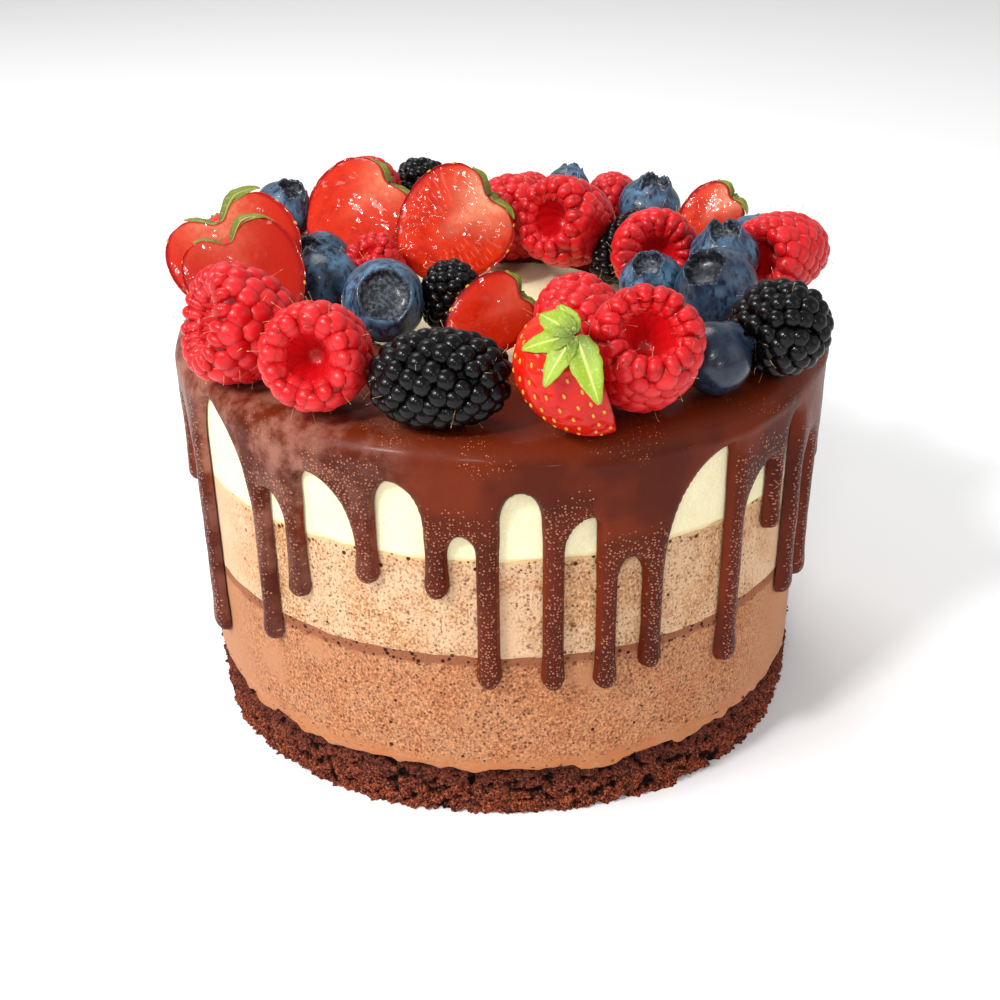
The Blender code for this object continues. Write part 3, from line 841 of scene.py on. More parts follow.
class DripLine:
    """The glaze's lower edge all round the cake, as a measure of how far inside it a place is.

    ARCH_RISE is an arch's height over its reach, and ROUND_END a tip's radius over its half width.
    """

    ARCH_RISE = 1.6
    ROUND_END = 1.03

    def __init__(self, drips: list[Drip], radius: float, side_step: float = 0.25 * MM) -> None:
        """Works out the arch between each drip and the next.

        Args:
            drips: in order of their angles, over one turn.
            radius: of the wall that they run down.
            side_step: how far outside a drip its arches start.
        """
        self.radius = radius
        angle, self.tip, self.width, arch_at, self.top = np.array([astuple(drip) for drip in drips]).T
        self.centre = np.radians(angle)
        half = (self.width / 2 + side_step) / radius
        start = self.centre + half
        end = np.append(self.centre[1:], self.centre[0] + math.tau) - np.roll(half, -1)
        self.peak = start + (end - start) * arch_at
        self.left_reach = (self.peak - start) * radius
        self.right_reach = (end - self.peak) * radius

    def outside_arch(
        self, away: Array, reach: Array, top: Array, height: Array
    ) -> Array:
        """How far a place is outside half an arch, below 0 in the gap under it.

        With u the way from the peak as a share of the arch's reach, and v the height over its foot
        as a share of its rise, the arch is where the root of u² + v² is 1. What that root is more
        than 1, divided by its slope, is the distance. Below the foot v is 0.
        """
        rise = self.ARCH_RISE * reach
        across = away / reach
        up = np.maximum(height - (top - rise), 0) / rise
        reached = np.maximum(np.hypot(across, up), 1e-6)
        slope = np.hypot(across / reach, up / rise) / reached
        return (reached - 1) / np.maximum(slope, 1e-6)

    def read(self, angle: Array, height: Array) -> dict[str, Array]:
        """What the glaze is like at a place of the wall.

        Args:
            angle: in radians from the front.
            height: in metres.

        Returns:
            depth, how far inside the edge it is in metres; across, the way from the drip's centre
            line; half, its half width; along, the height over its tip in widths; over, the height
            over the lower of its two arches.
        """
        low = self.peak[-1] - math.tau
        turn = (angle - low) % math.tau + low
        own = np.searchsorted(self.peak, turn, side="right") % len(self.peak)
        before = own - 1
        left_peak = np.where(own == 0, low, self.peak[before])
        from_left, from_right = (turn - left_peak) * self.radius, (self.peak[own] - turn) * self.radius
        left = self.outside_arch(from_left, self.right_reach[before], self.top[before], height)
        right = self.outside_arch(from_right, self.left_reach[own], self.top[own], height)
        across = (turn - self.centre[own]) * self.radius
        half = self.width[own] / 2
        along = (height - self.tip[own]) / self.width[own]
        over = height - np.minimum(self.top[before], self.top[own])
        swell = (0.16 * hump(along - 0.5, 0.9) - 0.10) * ease(over, 0, -6 * MM)
        sides = np.minimum(left, right) + half * swell
        round_end = half * self.ROUND_END
        cap = round_end - np.hypot(across, height - self.tip[own] - round_end)
        depth = np.where(height < self.tip[own] + round_end, cap, sides)
        return {"depth": depth, "across": across, "half": half, "along": along, "over": over}

    def columns(self, fine: float, coarse: float) -> Array:
        """Angles round the cake, closer together on the drips than in the gaps.

        The wanted number of columns for each metre is added up all round, and the angles are
        where that sum passes the whole numbers.
        """
        angle = np.linspace(-math.pi, math.pi, 24001)
        state = self.read(angle, np.full_like(angle, 0.06))
        near = ease(np.abs(state["across"]), state["half"] + 1.6 * MM, state["half"] + 0.5 * MM)
        wanted = near / fine + (1 - near) / coarse
        steps = (wanted[1:] + wanted[:-1]) / 2 * np.diff(angle) * self.radius
        total = np.concatenate([[0], np.cumsum(steps)])
        count = round(total[-1])
        return np.interp(np.linspace(0, total[-1], count, endpoint=False), total, angle)


@dataclass
class Glaze:
    """The chocolate glaze: a ring on the top, a round shoulder, and drips down the side.

    Attributes:
        side: the radius of its inside.
        floor: the height of its underside, and top that of its top.
        band: how thick it is on the wall, and drip how thick a drip is.
        shoulder: the radius of the round between top and wall.
        hole: the radius of the bare middle, how far that is moved back, and how far its lobes go.
        lip: the width over which it rises at the hole.
        ridge: how far a drip goes on up the band as a low ridge.
        top_waves: the sizes, seeds and strengths of the waves on the top.
        waves: the same on the wall.
        fold: how far under the top the fold round the shoulder runs, how high and how wide it is.
        crest: the noises by which the fold goes up and down.
        row_step: between the grid's rows.
        fine: between its columns on a drip, and coarse in a gap.
    """

    side: float = SIZES.radius + SIZES.gap
    floor: float = SIZES.top + SIZES.gap
    top: float = SIZES.glaze_top
    band: float = 2.6 * MM
    drip: float = 2.7 * MM
    shoulder: float = 6.0 * MM
    hole: tuple = (38.5 * MM, 4 * MM, 1.5 * MM)
    lip: float = 2.6 * MM
    ridge: float = 0.30 * MM
    top_waves: tuple = ((14 * MM, 31, 0.22 * MM), (6 * MM, 33, 0.11 * MM))
    waves: tuple = ((13 * MM, 35, 0.24 * MM), (4.5 * MM, 36, 0.10 * MM))
    fold: tuple = (4.6 * MM, 0.42 * MM, 1.3 * MM)
    crest: tuple = ((26 * MM, 38, 2.2 * MM), (7 * MM, 39, 0.6 * MM))
    row_step: float = 0.66 * MM
    fine: float = 0.54 * MM
    coarse: float = 0.86 * MM

    def hole_edge(self, angle: Array) -> Array:
        """The radius of the bare middle, moved to the back by a cosine and with small lobes."""
        radius, moved, lobes = self.hole
        return radius - moved * np.cos(angle) + lobes * np.sin(5 * angle) * np.cos(2 * angle + 0.6)

    def upper_rows(self, angle: Array) -> tuple[Array, Array]:
        """Radius and height of the rows on the top, from the hole to the shoulder's start.

        A quarter ellipse rises over the lip, and the rest lies in low slow waves.
        """
        hole = self.hole_edge(angle)
        end = self.side + self.band - self.shoulder
        first = np.array([0, 0.2, 0.7, 1.5])[:, None] * MM
        rest = np.linspace(0, 1, 15)[:, None]
        radius = np.concatenate([hole + first, hole + self.lip + (end - hole - self.lip) * rest])
        share = np.clip((radius - hole) / self.lip, 0, 1)
        rise = (self.top - self.floor) * np.sqrt(1 - (1 - share) ** 2)
        waves = layered_noise(around(angle, radius, 0.0), *self.top_waves)
        return radius, self.floor + rise + waves * share

    def surface(self) -> Surface:
        """The glaze as a closed shell over the wall.

        The wall is a grid of angle and height. Faces whose middle is inside the edge stay, and the
        grid points at their border are moved onto the edge, down the slope of the depth. From
        there the glaze swells as a quarter ellipse of the depth, up to a drip's half width.
        The inside follows the cake's wall and shares the border, which closes the shell.
        """
        line = DripLine([*FRONT_DRIPS, *back_drips()], SIZES.radius)
        angle = line.columns(self.fine, self.coarse)
        upper_radius, upper_height = self.upper_rows(angle)
        tilt = np.radians(np.linspace(0, 90, 17)[1:])[:, None]
        outer = self.side + self.band
        neck = self.top - self.shoulder
        lowest = line.tip.min() - 2 * self.row_step
        walls = np.arange(neck - self.row_step, lowest, -self.row_step)[:, None]
        rounded = outer - self.shoulder + self.shoulder * np.sin(tilt)
        radius = np.concatenate([rounded, np.full_like(walls, outer)])
        height = np.concatenate([neck + self.shoulder * np.cos(tilt), walls])
        rows, columns = len(height), len(angle)
        angles = np.broadcast_to(angle, (rows, columns)).copy()
        heights = np.broadcast_to(height, (rows, columns)).copy()
        paired = height[:, 0] < self.floor - 0.4 * MM
        kept = self.kept_faces(line.read(angles, heights)["depth"])
        border = self.border_of(kept) & paired[:, None]
        self.snap(line, angles, heights, border)
        self.relax(angles, heights, kept, border, paired)
        radii, beads = self.swell(line, angles, heights, radius, border)
        lifted = 0.2 * MM * soft_noise(around(angles, self.side, heights), 15 * MM, 37)
        lowered = heights + lifted * ~paired[:, None]
        shell = np.concatenate([around(angle, upper_radius, upper_height), around(angles, radii, lowered)])
        under = around(angle, self.side, np.full((1, columns), self.floor))
        inner = np.concatenate([under, around(angles, self.side, heights)[paired]])
        count = len(upper_radius)
        outer_number = np.arange(shell.shape[0] * columns).reshape(-1, columns)
        inner_number = outer_number.size + np.arange(inner.shape[0] * columns).reshape(-1, columns)
        shared = np.concatenate([np.zeros((1, columns), bool), border[paired]])
        opposite = np.concatenate([outer_number[:1], outer_number[count:][paired]])
        inner_number = np.where(shared, opposite, inner_number)
        inside = np.concatenate([outer_number[:1], inner_number])
        kept_inside = np.concatenate([np.ones((2, columns), bool), kept[paired[:-1]]])
        kept_outside = np.concatenate([np.ones((count, columns), bool), kept])
        inside_faces = grid_faces(inside)[kept_inside][:, ::-1]
        quads = np.concatenate([grid_faces(outer_number)[kept_outside], inside_faces])
        points = np.concatenate([shell.reshape(-1, 3), inner.reshape(-1, 3)])
        beaded = np.zeros(len(points))
        beaded[count * columns : outer_number.size] = beads.ravel()
        used, corners = np.unique(quads, return_inverse=True)
        return Surface(points[used], corners.reshape(-1, 4), marks={"beads": beaded[used]})

    @staticmethod
    def kept_faces(depth: Array) -> Array:
        """The faces whose mean depth is inside the edge, by the row and column of their first corner."""
        along = depth + np.roll(depth, -1, axis=1)
        return along[:-1] + along[1:] > 0

    @staticmethod
    def border_of(kept: Array) -> Array:
        """The grid points that have both kept and left out faces round them."""
        padded = np.pad(kept, ((1, 1), (0, 0)), mode="edge")
        padded[-1] = False
        sides = (padded[:-1], padded[1:], np.roll(padded[:-1], 1, axis=1), np.roll(padded[1:], 1, axis=1))
        total = sum(side.astype(int) for side in sides)
        return (total > 0) & (total < 4)

    @staticmethod
    def snap(line: DripLine, angles: Array, heights: Array, border: Array) -> None:
        """Moves the border's grid points onto the edge, three steps down the slope of the depth."""
        step = 0.05 * MM
        for _ in range(3):
            turn, height = angles[border], heights[border]
            depth = line.read(turn, height)["depth"]
            sideways = (line.read(turn + step / line.radius, height)["depth"] - depth) / step
            upwards = (line.read(turn, height + step)["depth"] - depth) / step
            steep = np.maximum(sideways**2 + upwards**2, 0.25)
            angles[border] = turn - np.clip(depth * sideways / steep, -0.5 * MM, 0.5 * MM) / line.radius
            heights[border] = height - np.clip(depth * upwards / steep, -0.5 * MM, 0.5 * MM)

    @staticmethod
    def relax(
        angles: Array, heights: Array, kept: Array, border: Array, paired: Array
    ) -> None:
        """Evens out the grid next to the border: each point moves half way to its neighbours' mean."""
        near = border.copy()
        for _ in range(2):
            near |= np.roll(near, 1, 0) | np.roll(near, -1, 0) | np.roll(near, 1, 1) | np.roll(near, -1, 1)
        used = np.zeros_like(border)
        used[:-1] |= kept
        used[1:] |= kept
        moving = near & used & ~border & paired[:, None]
        moving[0] = moving[-1] = False
        for _ in range(3):
            for grid, whole_turn in ((angles, math.tau), (heights, 0.0)):
                before, after = np.roll(grid, 1, axis=1), np.roll(grid, -1, axis=1)
                before[:, 0] -= whole_turn
                after[:, -1] += whole_turn
                mean = (before + after + np.roll(grid, 1, axis=0) + np.roll(grid, -1, axis=0)) / 4
                grid[moving] += 0.5 * (mean - grid)[moving]

    def swell(
        self, line: DripLine, angles: Array, heights: Array, radius: Array, border: Array
    ) -> tuple[Array, Array]:
        """The glaze's outer radius at each grid point, and how beaded it is there.

        With d the depth as a share of the drip's half width, the thickness is its full measure
        times the root of 1 - (1 - d)². Drips are thicker than the band, most at their tips, and
        go on a little way up the band as low ridges. A wavy fold runs round the shoulder.
        """
        state = line.read(angles, heights)
        share = np.clip(state["depth"] / state["half"], 0, 1)
        dome = np.where(border, 0, np.sqrt(np.maximum(1 - (1 - share) ** 2, 0)))
        below = ease(state["over"], 2 * MM, -6 * MM)
        full = self.band + (self.drip - self.band) * below
        full = full * (1 + 0.10 * hump(state["along"] - 0.55, 0.6))
        ridge = self.ridge * hump(state["across"], 3 * MM) * hump(state["over"] - 1 * MM, 7 * MM)
        place = around(angles, self.side, heights)
        level = around(angles, self.side, 0.0)
        under, high, wide = self.fold
        crest = self.top - under + layered_noise(level, *self.crest)
        strength = ease(soft_noise(level, 19 * MM, 40), -0.35, 0.45)
        waves = layered_noise(place, *self.waves) + high * strength * hump(heights - crest, wide)
        lean = (radius - self.side) / self.band
        radii = self.side + dome * (full * lean + ridge + waves)
        patches = ease(soft_noise(place, 12 * MM, 43), -0.7, 0.4)
        beads = ease(state["over"], 10 * MM, 1 * MM) * (0.5 + 0.5 * patches) * ease(share, 0.08, 0.45)
        return radii, beads

    def make(self) -> None:
        """Builds and dresses the glaze, with a crisp edge where it meets the cake."""
        coat = self.surface().build("glaze_coat", GlazeFinish().make(), "chocolate_glaze", "chocolate_glaze")
        coat.data.set_sharp_from_angle(angle=math.radians(75))


def heading(angle: float, tilt: float) -> Array:
    """The unit direction at this angle round the cake and this tilt over the horizon, in degrees."""
    rise = math.radians(tilt)
    return around(math.radians(angle), math.cos(rise), math.sin(rise))


def smooth_curve(knots: Array, count: int) -> Array:
    """Points spread evenly along a smooth curve through the knots.

    Between the knots b and c, with a before, d after and t the share of the way, the point is half
    of 2b + (c - a) t + (2a - 5b + 4c - d) t² + (3b - a - 3c + d) t³.
    """
    ends = np.concatenate([[2 * knots[0] - knots[1]], knots, [2 * knots[-1] - knots[-2]]])
    a, b, c, d = (ends[i : len(ends) - 3 + i][:, None] for i in range(4))
    t = np.linspace(0, 1, 24, endpoint=False)[:, None]
    curve = 0.5 * (2 * b + (c - a) * t + (2 * a - 5 * b + 4 * c - d) * t**2 + (3 * b - a - 3 * c + d) * t**3)
    curve = np.concatenate([curve.reshape(-1, 2), knots[-1:]])
    way = np.concatenate([[0], np.cumsum(np.linalg.norm(np.diff(curve, axis=0), axis=1))])
    even = np.linspace(0, way[-1], count)
    return np.stack([np.interp(even, way, part) for part in curve.T], -1)


def outward(curve: Array) -> Array:
    """The unit normals of a turned outline of radius and height that runs from the top down."""
    slope = np.gradient(curve, axis=0)
    return unit(np.stack([-slope[:, 1], slope[:, 0]], -1))


class Neighbours:
    """The flat walls between fruits that lie side by side, halfway between their CAD nodes.

    SOFT is the soft depth of a wall, NEAR the widest gap that has a wall in it, SUNK how far a
    fruit may sink into the glaze, and DIRECTIONS how many directions are tried.
    """

    SOFT = 0.8 * MM
    NEAR = 3 * MM
    SUNK = 0.2 * MM
    DIRECTIONS = 260

    def __init__(self, nodes: dict[str, bpy.types.Object], names: list[str]) -> None:
        """Finds, for each pair of near fruits, the direction along which they are furthest apart.

        Args:
            nodes: the CAD nodes by name.
            names: the fruits' nodes. A calyx goes with its own strawberry.
        """
        self.walls: dict[str, list[tuple[Array, float]]] = {name: [] for name in names}
        k = np.arange(self.DIRECTIONS) + 0.5
        z, turn = 1 - 2 * k / self.DIRECTIONS, k * math.pi * (1 + math.sqrt(5))
        flat = np.sqrt(1 - z * z)
        directions = np.stack([flat * np.cos(turn), flat * np.sin(turn), z], 1)
        pairs = {name: (name, name + "_calyx") for name in names}
        clouds = {name: self.cloud([nodes[n] for n in pairs[name] if n in nodes]) for name in names}
        for first, second in itertools.combinations(names, 2):
            one, two = clouds[first], clouds[second]
            if (np.maximum(one.min(0) - two.max(0), two.min(0) - one.max(0)) > self.NEAR).any():
                continue
            reach, start = (one @ directions.T).max(0), (two @ directions.T).min(0)
            best = int((start - reach).argmax())
            wall = (reach[best] + start[best]) / 2
            self.walls[first].append((directions[best], wall))
            self.walls[second].append((-directions[best], -wall))

    @staticmethod
    def cloud(pieces: list[bpy.types.Object]) -> Array:
        """The corners of some CAD nodes."""
        found = []
        for piece in pieces:
            corners = np.empty(len(piece.data.vertices) * 3, np.float32)
            piece.data.vertices.foreach_get("co", corners)
            found.append(corners.reshape(-1, 3).astype(float))
        return np.concatenate(found)

    def press(self, name: str, points: Array) -> Array:
        """Squeezes a fruit's points clear of its walls and of the glaze.

        With m the soft depth and x the way past the point m before the wall, x becomes
        m (1 - exp(-x / m)), which nears the wall and never reaches it.
        """
        floor = (np.array([0.0, 0.0, -1.0]), -(SIZES.glaze_top - self.SUNK))
        for direction, wall in [*self.walls[name], floor]:
            past = np.maximum(points @ direction - (wall - self.SOFT), 0)
            pressed = self.SOFT * (1 - np.exp(-past / self.SOFT))
            points = points + (pressed - past)[:, None] * direction
        return points


@dataclass(frozen=True)
class Fruit:
    """A fruit of the same size and heading as its CAD node.

    Attributes:
        node: the CAD node, which also gives its place.
        radius: its half width.
        length: its length from the open, crown or stem end to the tip.
        face: the angle round the cake, in degrees, that its open, crown or stem end looks to.
        tilt: how far above the horizon that end looks, in degrees.
    """

    node: str
    radius: float
    length: float
    face: float
    tilt: float

    def cut_side(self) -> Array:
        """What its front turns to: the sky on a whole berry."""
        return np.array([0.0, 0.0, 1.0])

    def axes(self) -> Array:
        """Its own axes as rows: side, back, which is away from its front, and up, its open end."""
        up, cut = heading(self.face, self.tilt), self.cut_side()
        if abs(up @ cut) > 0.95:
            cut = np.array([0.0, -1.0, 0.0])
        back = unit(up * (cut @ up) - cut)
        return np.stack([np.cross(back, up), back, up])

    def place(self, neighbours: Neighbours, body: Surface, *riders: Surface) -> None:
        """Turns the body and what rides on it, centres the body's box on its CAD node's, and presses them."""
        low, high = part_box(self.node)
        turned = body.points @ self.axes()
        shift = (np.array(low) + np.array(high) - turned.min(0) - turned.max(0)) / 2
        for surface in (body, *riders):
            surface.points = neighbours.press(self.node, surface.points @ self.axes() + shift)

    def curve(self, knots: tuple, count: int) -> Array:
        """A part of the outline in metres, through knots in half widths and lengths."""
        return smooth_curve(np.array(knots) * (self.radius, self.length), count)

    def draw(self) -> np.random.Generator:
        """Its own repeatable source of random numbers."""
        return np.random.default_rng(sum(ord(letter) * (i + 1) for i, letter in enumerate(self.node)))


@dataclass(frozen=True)
class DrupeletFinish:
    """The skin of a raspberry or bramble: painted shade deep in the creases, its own tone on each drupelet,
    and a painted highlight on the tops of some.

    Attributes:
        low: painted shade in the creases.
        pale: a painted highlight on the tops of the drupelets, stronger on some at random by their tone.
        glow: how much light goes through it.
        bloom: how dusty it is.
        coat: how strong the gloss over it is, and gleam that of the skin itself.
    """

    name: str
    low: Colour
    body: Colour
    pale: Colour
    roughness: float
    glow: float
    bloom: float
    coat: float = 0.15
    gleam: float = 0.25

    def make(self) -> Material:
        """Colour runs from painted shade in the creases to the tops by the mark rise, and to a painted
        highlight on the tops by the mark tone.
        """
        mix = Recipe(self.name)
        rise, tone = mix.mark("rise"), mix.mark("tone")
        fine = mix.noise(1.3 * MM, 3)
        # painted highlight on the drupelets' tops, its strength on each set at random by tone
        painted_top_highlight = mix.times(mix.ease(rise, 0.66, 1.0), mix.ease(tone, 0.2, 1.0, 0.0, 0.5))
        # painted shade in the creases, by the mark rise
        body = mix.blend(mix.ease(rise, 0.15, 0.6), self.low, self.body)
        return mix.finish(
            Base_Color=mix.blend(painted_top_highlight, body, self.pale),
            Roughness=mix.ease(fine, 0.3, 0.7, self.roughness - 0.06, self.roughness + 0.1),
            Specular_IOR_Level=self.gleam, Subsurface_Weight=self.glow,
            Subsurface_Radius=(1.0, 0.12, 0.1), Subsurface_Scale=1.6 * MM, Sheen_Weight=self.bloom,
            Sheen_Roughness=0.3, Coat_Weight=self.coat, Coat_Roughness=0.12,
            Normal=mix.bump(fine, 0.05 * MM),
        )


RASPBERRY_SKIN = DrupeletFinish(
    "raspberry_skin", srgb(130, 2, 7), srgb(194, 8, 16), srgb(228, 50, 54),
    roughness=0.38, glow=0.35, bloom=0.06,
)
BRAMBLE_SKIN = DrupeletFinish(
    "bramble_skin", srgb(2, 1, 2), srgb(3, 3, 4), srgb(9, 10, 14),
    roughness=0.30, glow=0.0, bloom=0.0, coat=0.26, gleam=0.10,
)


@dataclass(frozen=True)
class DrupeletBerry(Fruit):
    """A berry of round drupelets in staggered rings on a turned core.

    Attributes:
        hollow: knots of the open end's inside, from its pole to the rim, as shares of the half
            width and of the length. Empty on a berry that is closed.
        outer: knots from the rim or the stem end to the tip.
        share: a drupelet's width, as a share of the half width, over the least width.
        rib: a rim drupelet's width, as a share of the others', and rib_rows how many in line make
            one of the ribs that run over the rim.
        rib_way: in widths past the rim, where a rib starts, the step in it, and the way from its
            end to the other drupelets. The rim has rim_radius half widths.
        sunk: how far the core lies under the outline, as a share of a drupelet's width.
        proud: how far a drupelet's top stands over the outline.
        swell: how wide, long and high a drupelet is for its place.
        uneven: the smallest and the largest drupelet, as a share of the mean.
        crowding: the area that a drupelet takes, as a share of its width squared.
        hair: the lengths of the shortest and the longest hair in millimetres.
    """

    hollow: tuple = ()
    outer: tuple = ()
    share: float = 0.27
    least: float = 1.5 * MM
    rib: float = 0.80
    rib_rows: int = 2
    rib_way: tuple = (0.18, 0.42, 0.62)
    rim_radius: float = 0.62
    sunk: float = 0.24
    proud: float = 0.4 * MM
    swell: tuple = (1.20, 1.20, 0.82)
    uneven: tuple = (0.93, 1.09)
    crowding: float = 0.76
    hair: tuple = (2.2, 3.6)
    segments: int = 12
    template_rings: tuple = (26, 54, 84, 118)

    def width(self) -> float:
        """A drupelet's width."""
        return self.share * self.radius + self.least

    def core(self) -> Surface:
        """The turned body under the drupelets: the outer outline moved in by a share of a drupelet.

        An open berry's core runs on over its rim into the hollow, whose wall has low ribs."""
        outer = self.curve(self.outer, 26)
        sunk = outer - outward(outer) * self.sunk * self.width()
        sunk[:, 0] = np.maximum(sunk[:, 0], 0.02 * self.radius)
        inner = self.curve(self.hollow, 18)[1:] if self.hollow else np.zeros((0, 2))
        line = np.concatenate([inner, sunk[1:-1] if self.hollow else sunk[:-1]])
        angle = full_turn(40)
        inside = (np.arange(len(line)) < len(inner))[:, None]
        ribs = 1 + 0.08 * np.cos(11 * angle) * np.cos(line[:, 1:] / self.width() * 5 + 2 * angle) * inside
        rings = around(angle, line[:, :1] * ribs, line[:, 1:])
        # rise 0 gives the core between the drupelets the creases' painted shade
        rise = np.where(inside, np.linspace(0.45, 0.85, len(line))[:, None], 0.0)
        top = self.hollow[0][1] * self.length if self.hollow else line[0, 1]
        return Surface.closed_round(rings, top, line[-1, 1] - 0.05 * MM, rise=rise, tone=0.0)

    def template(self) -> Surface:
        """One drupelet: a closed unit ball, its rings closer together near its top."""
        polar = np.radians(self.template_rings)[:, None]
        angle = full_turn(self.segments)
        rings = around(angle, np.sin(polar), np.cos(polar))
        rise = (rings[..., 2] + 1) / 2
        return Surface.closed_round(rings, 1, -1, rise=rise)

    def stations(self) -> dict[str, Array]:
        """Where the drupelets sit: angle, radius, height, normal and whether on the rim.

        An open berry has a ring of them on its rim. The rest lie on a spiral down the outline, each
        the golden angle of 137.5 degrees on from the last and each with the same share of the area.
        """
        draws = self.draw()
        line = self.curve(self.hollow[-1:] + self.outer, 240)
        normal = outward(line)
        step = np.linalg.norm(np.diff(line, axis=0), axis=1)
        way = np.concatenate([[0], np.cumsum(step)])
        area = np.concatenate([[0], np.cumsum(math.pi * (line[1:, 0] + line[:-1, 0]) * step)])
        width = self.width()
        first, rib_step, beyond = self.rib_way
        rows = (np.arange(self.rib_rows) * rib_step + first) * width
        begin = np.interp(rows[-1] + beyond * width, way, area) if self.hollow else 0.0
        count = round((area[-1] - begin) / (self.crowding * width**2))
        number = np.arange(count)
        at = begin + (number + 0.5 + draws.uniform(-0.2, 0.2, count)) / count * (area[-1] - begin)
        turn = number * math.pi * (3 - math.sqrt(5)) + draws.uniform(-0.1, 0.1, count)
        if self.hollow:
            ribs = round(math.tau * self.rim_radius * self.radius / (self.rib * width))
            around_rim = (np.arange(ribs) + draws.uniform(-0.12, 0.12, ribs)) / ribs * math.tau
            at = np.concatenate([np.repeat(np.interp(rows, way, area), ribs), at])
            turn = np.concatenate([np.tile(around_rim, self.rib_rows), turn])
        radius, height, out, up = (np.interp(at, area, fact) for fact in np.hstack([line, normal]).T)
        rim = (np.arange(len(at)) < len(at) - count).astype(float)
        return {"angle": turn, "radius": radius, "height": height, "out": out, "up": up, "rim": rim}

    def drupelets(self) -> Surface:
        """Every drupelet: copies of the template, turned to the outline's normal and placed on it.

        The middle of each is sunk until only its top stands proud. Those on a rim are drawn out
        into the hollow.
        """
        draws = self.draw()
        at = self.stations()
        count = len(at["angle"])
        sine, cosine = np.sin(at["angle"]), np.cos(at["angle"])
        sideways = np.stack([cosine, sine, np.zeros(count)], -1)
        normal = around(at["angle"], at["out"], at["up"])
        normal = unit(normal + draws.normal(0, 0.05, (count, 3)))
        meridian = np.cross(normal, sideways)
        frames = np.stack([sideways, meridian, normal], 1)
        grown = self.width() / 2 * draws.uniform(*self.uneven, (count, 1))
        drawn_out = np.array([self.rib, 0.86, 0.9])
        scale = grown * self.swell * np.where(at["rim"][:, None] > 0, drawn_out, 1.0)
        base = around(at["angle"], at["radius"], at["height"])
        centre = base + normal * (self.proud - scale[:, 2:])
        return self.template().copies(scale, frames, centre, tone=draws.uniform(0, 1, count))

    def hairs(self, share: float) -> Surface:
        """Fine dry styles that stand out between the drupelets: thin three-sided stalks with a knob.

        With t the share of a hair's length, its line is the base, plus the direction times the
        length and t, plus a bend times t².
        """
        draws = self.draw()
        at = self.stations()
        chosen = draws.uniform(0, 1, len(at["angle"])) < share
        angle = at["angle"][chosen] + 0.45 * self.width() / np.maximum(at["radius"][chosen], 2 * MM)
        count = len(angle)
        normal = around(angle, at["out"][chosen], at["up"][chosen])
        base = around(angle, at["radius"][chosen], at["height"][chosen]) - normal * 0.8 * MM
        lean = unit(normal + draws.normal(0, 0.35, (count, 3)))
        length = draws.uniform(*self.hair, (count, 1, 1)) * MM
        bend = draws.normal(0, 0.5, (count, 1, 3)) * MM
        share_of = np.array([0, 0.3, 0.6, 0.85, 0.93, 1.0])[:, None]
        thickness = np.array([0.07, 0.06, 0.05, 0.045, 0.10, 0.07])[:, None, None] * MM
        line = base[:, None] + lean[:, None] * length * share_of + bend * share_of**2
        side = unit(np.cross(lean, [0.3, 0.5, 0.8]))
        other = np.cross(lean, side)
        turn = -np.arange(3) * math.tau / 3
        ring = side[:, None] * np.cos(turn)[:, None] + other[:, None] * np.sin(turn)[:, None]
        rings = line[:, ::-1][:, :, None] + ring[:, None] * thickness[::-1]
        return Surface.joined([Surface.closed_round(r) for r in rings])

    def make(self, neighbours: Neighbours, material: Material, slot: str, hair: float) -> Surface:
        """Builds and dresses the berry, and returns its hairs, in place."""
        body = Surface.joined([self.drupelets(), self.core()])
        hairs = self.hairs(hair)
        self.place(neighbours, body, hairs)
        body.build(f"{self.node}_fruit", material, slot, self.node)
        return hairs


@dataclass(frozen=True)
class Raspberry(DrupeletBerry):
    """A raspberry, open where it sat on its stalk."""

    hollow: tuple = ((0.0, 0.10), (0.18, 0.13), (0.34, 0.28), (0.44, 0.40))
    outer: tuple = (
        (0.56, 0.46), (0.76, 0.49), (0.95, 0.38), (1.0, 0.14), (0.90, -0.16), (0.58, -0.42), (0.0, -0.50),
    )


@dataclass(frozen=True)
class Bramble(DrupeletBerry):
    """A bramble: glossy, closed and blunt at its stem end."""

    outer: tuple = (
        (0.0, 0.47), (0.42, 0.45), (0.78, 0.33), (0.97, 0.13), (1.0, -0.09), (0.82, -0.31), (0.44, -0.46),
        (0.0, -0.50),
    )
    share: float = 0.30
    least: float = 1.85 * MM
    sunk: float = 0.36
    swell: tuple = (1.03, 1.03, 0.98)
    uneven: tuple = (0.86, 1.10)
    crowding: float = 0.66


RASPBERRIES = (
    Raspberry("raspberry_01", 0.0133, 0.0225, -62, 20, rib=0.56, rib_rows=3),
    Raspberry("raspberry_02", 0.0116, 0.0220, -12, 18),
    Raspberry("raspberry_03", 0.0121, 0.0260, 6, 48, rib=0.62, rib_rows=3),
    Raspberry("raspberry_04", 0.0100, 0.0210, 170, 10),
    Raspberry("raspberry_05", 0.0095, 0.0220, 180, -50),
    Raspberry("raspberry_06", 0.0072, 0.0160, -60, 60),
    Raspberry("raspberry_07", 0.0102, 0.0210, 180, -80),
    Raspberry("raspberry_08", 0.0118, 0.0250, -42, 22, rib=0.70, rib_rows=3),
    Raspberry("raspberry_09", 0.0072, 0.0160, 160, -20),
    Raspberry("raspberry_10", 0.0112, 0.0160, 4, 8, rib=0.60, rib_rows=3),
    Raspberry("raspberry_11", 0.0105, 0.0240, -48, 4),
    Raspberry("raspberry_12", 0.0075, 0.0180, 180, -20),
)
BRAMBLES = (
    Bramble("bramble_01", 0.0104, 0.0310, 84, 4),
    Bramble("bramble_02", 0.0074, 0.0190, 30, 70),
    Bramble("bramble_03", 0.0082, 0.0205, -80, 30),
    Bramble("bramble_04", 0.0066, 0.0240, 132, 35),
    Bramble("bramble_05", 0.0108, 0.0240, 25, 22),
)


